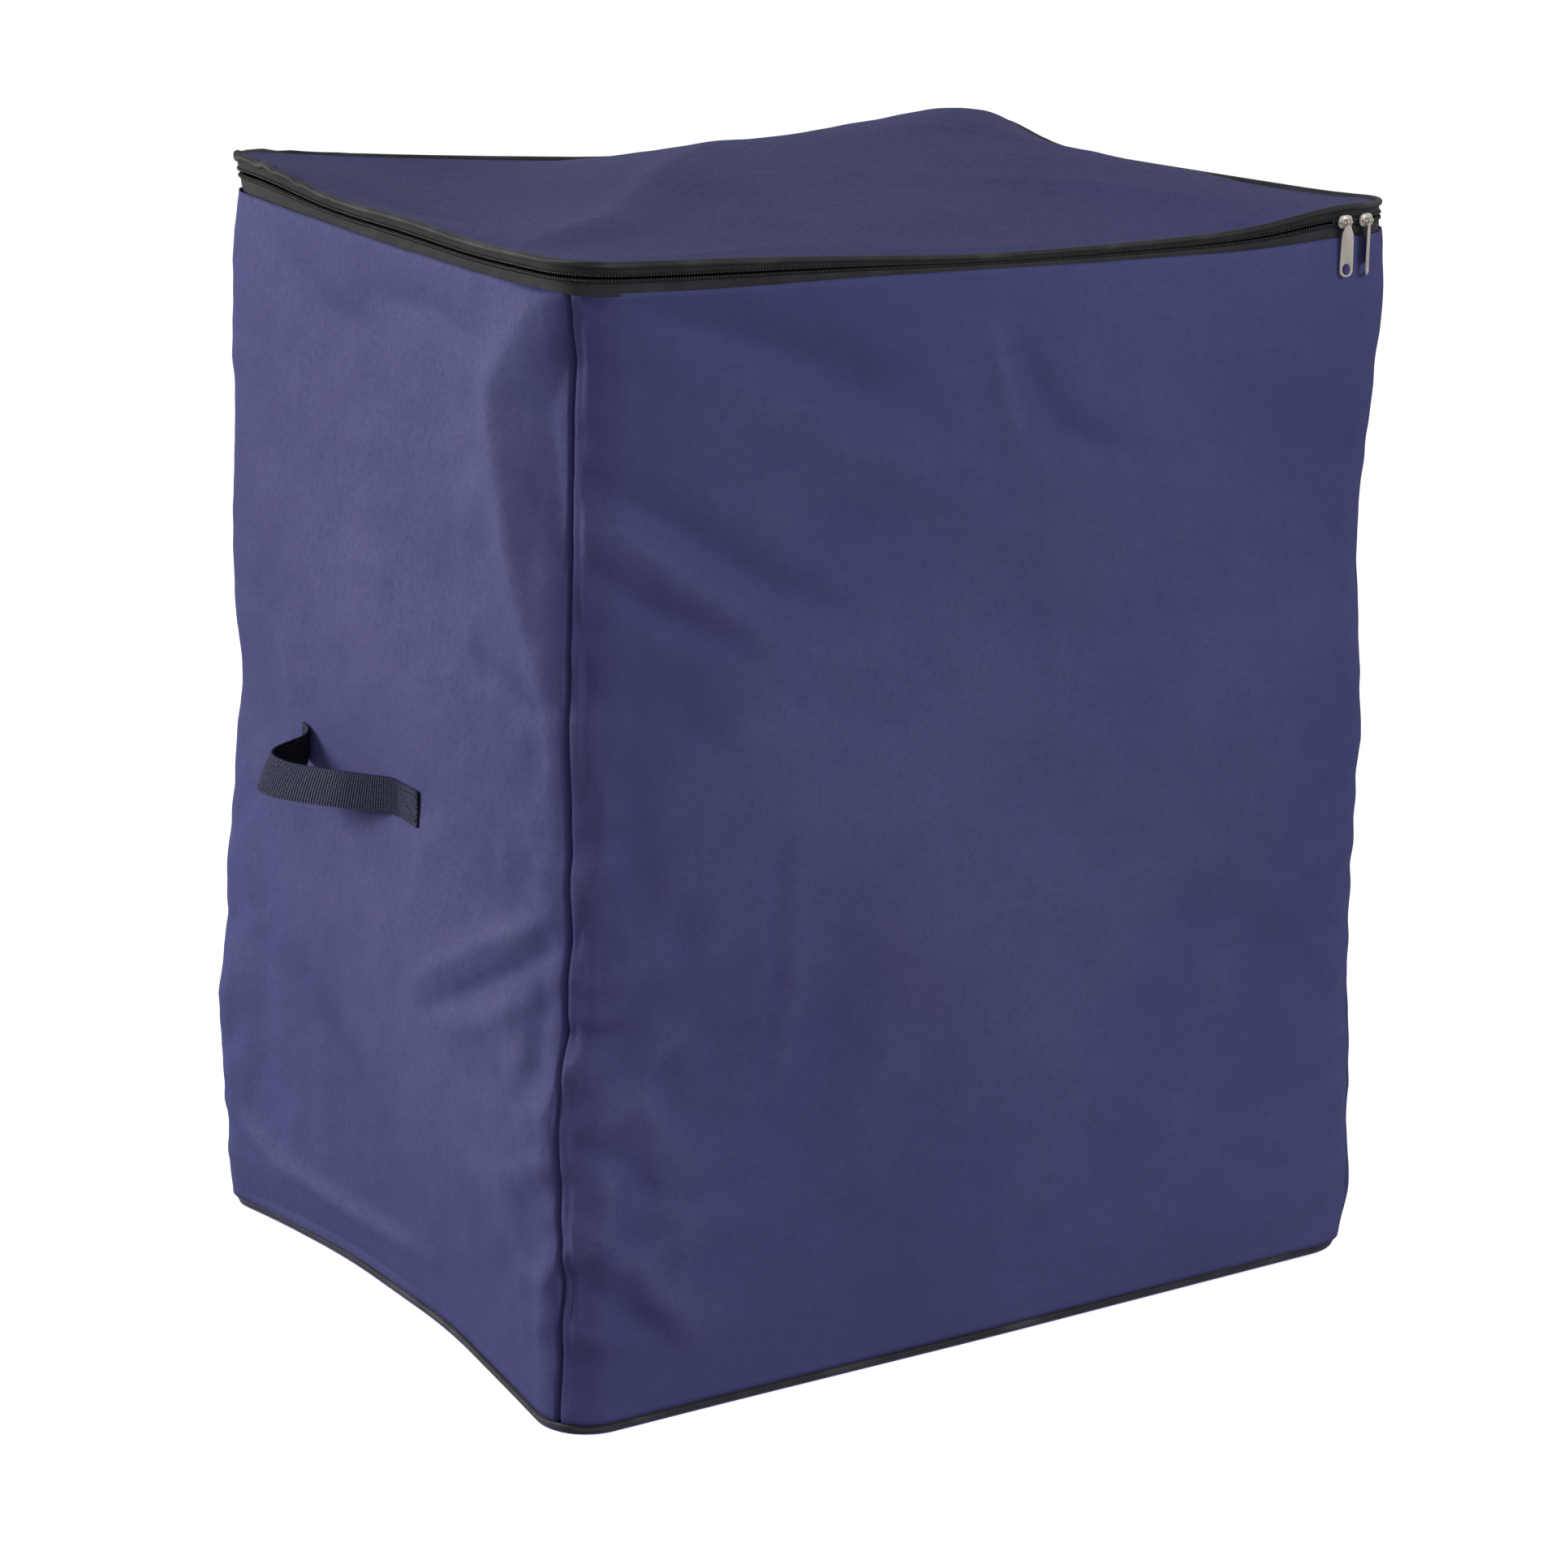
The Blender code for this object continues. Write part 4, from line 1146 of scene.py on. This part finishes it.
PULL_LOW, PULL_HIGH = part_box("pull_left")
SLIDER_LOW, SLIDER_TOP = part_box("slider_left")
PIVOT = Vector(((PULL_LOW.x + PULL_HIGH.x) / 2, 0, (SLIDER_LOW.z + SLIDER_TOP.z) / 2))
BRIDGE_OUT, BRIDGE_HALF, EYE_R = 0.0037, 0.0045, 0.0018
SLIDER_HALF, SLIDER_HIGH = 0.0058, 0.0045
PLATE_FACE, PLATE_THICK, INNER_FACE = -0.0010, 0.0014, 0.0047


def nickel(name):
    """Satin nickel plate on die-cast zinc, faintly pitted."""
    metal = Finish(name, 0.36, metallic=0.2)
    wear = metal.between(metal.speckle(700, 4), 0.35, 0.7)
    body = metal.mix((0.94, 0.85, 0.74, 1), (0.99, 0.93, 0.85, 1), wear)
    rough = metal.between(metal.speckle(300), 0.3, 0.7, 0.2, 0.36)
    return metal.done(body, metal.speckle(1200, 3), 0.00006, rough)


nickel_material = nickel("warm_satin_nickel")


def plate(bm, outlines, back, thick, round_off=0.0003):
    """A flat plate in x and z, from y = back inwards, its edges rounded; a second outline is a hole."""
    before = set(bm.verts)
    edges = []
    for loop in outlines:
        ring = [bm.verts.new((x, back, z)) for x, z in loop]
        edges += [bm.edges.new((ring[i], ring[(i + 1) % len(ring)])) for i in range(len(ring))]
    if len(outlines) > 1:
        faces = bmesh.ops.bridge_loops(bm, edges=edges)["faces"]
    else:
        faces = bmesh.ops.contextual_create(bm, geom=edges)["faces"]
    made = bmesh.ops.extrude_face_region(bm, geom=faces)["geom"]
    moved = [g for g in made if isinstance(g, bmesh.types.BMVert)]
    bmesh.ops.translate(bm, verts=moved, vec=(0, thick, 0))
    verts = [v for v in bm.verts if v not in before]
    bmesh.ops.recalc_face_normals(bm, faces=list({f for v in verts for f in v.link_faces}))
    sharp = [e for e in {e for v in verts for e in v.link_edges} if e.calc_face_angle(0) > 1.0]
    bmesh.ops.bevel(
        bm, geom=sharp, affect="EDGES", offset=round_off, segments=2, profile=0.5, material=-1
    )


def oval(half_x, half_z, centre_z=0.0, power=2.0, count=40):
    """Points round an oval, squarer as power grows."""
    turns = np.linspace(0, 2 * math.pi, count, endpoint=False)
    c, s = np.cos(turns), np.sin(turns)
    x = half_x * np.sign(c) * np.abs(c) ** (2 / power)
    z = half_z * np.sign(s) * np.abs(s) ** (2 / power)
    return list(zip(x, z + centre_z))


def strand(bm, centres, radius, sides=10):
    """A round bar along a course, closed at its ends, for bridges and eyes."""
    rings = []
    for i, centre in enumerate(centres):
        ahead = Vector(centres[min(i + 1, len(centres) - 1)]) - Vector(centres[max(i - 1, 0)])
        turned = ahead.to_track_quat("Z", "Y").to_matrix().to_4x4()
        made = bmesh.ops.create_circle(
            bm, cap_ends=i in (0, len(centres) - 1), segments=sides, radius=radius,
            matrix=Matrix.Translation(centre) @ turned,
        )["verts"]
        rings.append(made)
    for one, two in zip(rings, rings[1:]):
        for i in range(sides):
            j = (i + 1) % sides
            bm.faces.new((one[i], one[j], two[j], two[i]))
    verts = {v for ring in rings for v in ring}
    bmesh.ops.recalc_face_normals(bm, faces=list({f for v in verts for f in v.link_faces}))


def finished(bm, name, place, body):
    """Turns a slider or pull from its own axes to its place on the bag, and hands it to its body."""
    bmesh.ops.transform(bm, matrix=place, verts=bm.verts)
    made = piece_of(name, bm)
    made.data.set_sharp_from_angle(angle=math.radians(50))
    dressed(made, "slider_metal", nickel_material)
    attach(made, body)
    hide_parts(body)


RIGHT_SLIDER_TURN = math.radians(7)
PLACES = {
    "left": Matrix.Translation((PIVOT.x, -HALF_Y, PIVOT.z)),
    "right": Matrix.Translation((X_ARC, -Y_ARC, PIVOT.z))
    @ Matrix.Rotation(RIGHT_SLIDER_TURN, 4, "Z")
    @ Matrix.Translation((0, -CORNER_R, 0)),
}
PULL_TWIST = {"left": math.radians(-26), "right": math.radians(36)}  # as the pulls happen to hang
# A pull's edge from its eye down: (height from its pivot, half width), in millimetres.
PULL_EDGE = (
    (-2.7, 2.3), (-4.5, 2.4), (-6.5, 3.5), (-9.0, 4.0), (-16.0, 4.3), (-25.0, 4.5), (-32.0, 4.5),
)
for hand, place in PLACES.items():
    bm = bmesh.new()
    plate(bm, [oval(SLIDER_HALF, SLIDER_HIGH, power=2.7)], PLATE_FACE, PLATE_THICK)
    plate(bm, [oval(SLIDER_HALF, SLIDER_HIGH, power=3.4)], INNER_FACE, PLATE_THICK)
    dome = bmesh.ops.create_uvsphere(bm, u_segments=28, v_segments=14, radius=1)["verts"]
    bmesh.ops.scale(bm, vec=(0.0053, 0.0013, 0.0044), verts=dome)
    bmesh.ops.translate(bm, vec=(0, PLATE_FACE + 0.0002, 0), verts=dome)
    strand(bm, [(0, y, 0) for y in np.linspace(PLATE_FACE + 0.0006, INNER_FACE + 0.0004, 5)], 0.0008)
    arch = []
    for t in np.linspace(-math.pi / 2, math.pi / 2, 19):
        half = BRIDGE_HALF * math.sin(t) * (1.0 if abs(t) > 1.2 else 0.98)
        arch.append((half, -BRIDGE_OUT * math.cos(t) ** 0.55 - 0.0006, 0))
    strand(bm, arch, 0.0007, 12)
    finished(bm, f"zip_slider_{hand}", place, f"slider_{hand}")

    bm = bmesh.new()
    low_z = PULL_LOW.z - PIVOT.z
    hang = Matrix.Translation((0, -BRIDGE_OUT, 0))
    half_wide = (PULL_HIGH.x - PULL_LOW.x) / 2
    drops, halves = (np.array(axis) / 1000 for axis in zip(*PULL_EDGE))
    down = np.linspace(drops[0], low_z + half_wide, 22)
    across = np.interp(-down, -drops, halves)
    tip = [
        (half_wide * math.cos(t), low_z + half_wide + half_wide * math.sin(t))
        for t in np.linspace(0, -math.pi, 15)[1:-1]
    ]
    rim = [*zip(across, down), *tip, *zip(-across[::-1], down[::-1])]
    hole = oval(0.0026, 0.0038, low_z + half_wide + 0.0008, 2.2, len(rim))
    plate(bm, [rim, hole], -BRIDGE_OUT - 0.0007, 0.0014, 0.0004)
    twisted = hang @ Matrix.Rotation(PULL_TWIST[hand], 4, "Z") @ hang.inverted()
    bmesh.ops.transform(bm, matrix=twisted, verts=bm.verts)
    for x in (-0.0013, 0.0013):
        turns = np.linspace(0, 2 * math.pi, 21)
        eye = [(x, -BRIDGE_OUT + EYE_R * math.sin(t), EYE_R * math.cos(t)) for t in turns]
        strand(bm, eye, 0.0006, 8)
    strand(bm, [(x, -BRIDGE_OUT, -0.0024) for x in (-0.0020, -0.0007, 0.0007, 0.0020)], 0.0007, 10)
    finished(bm, f"zip_pull_{hand}", place, f"pull_{hand}")
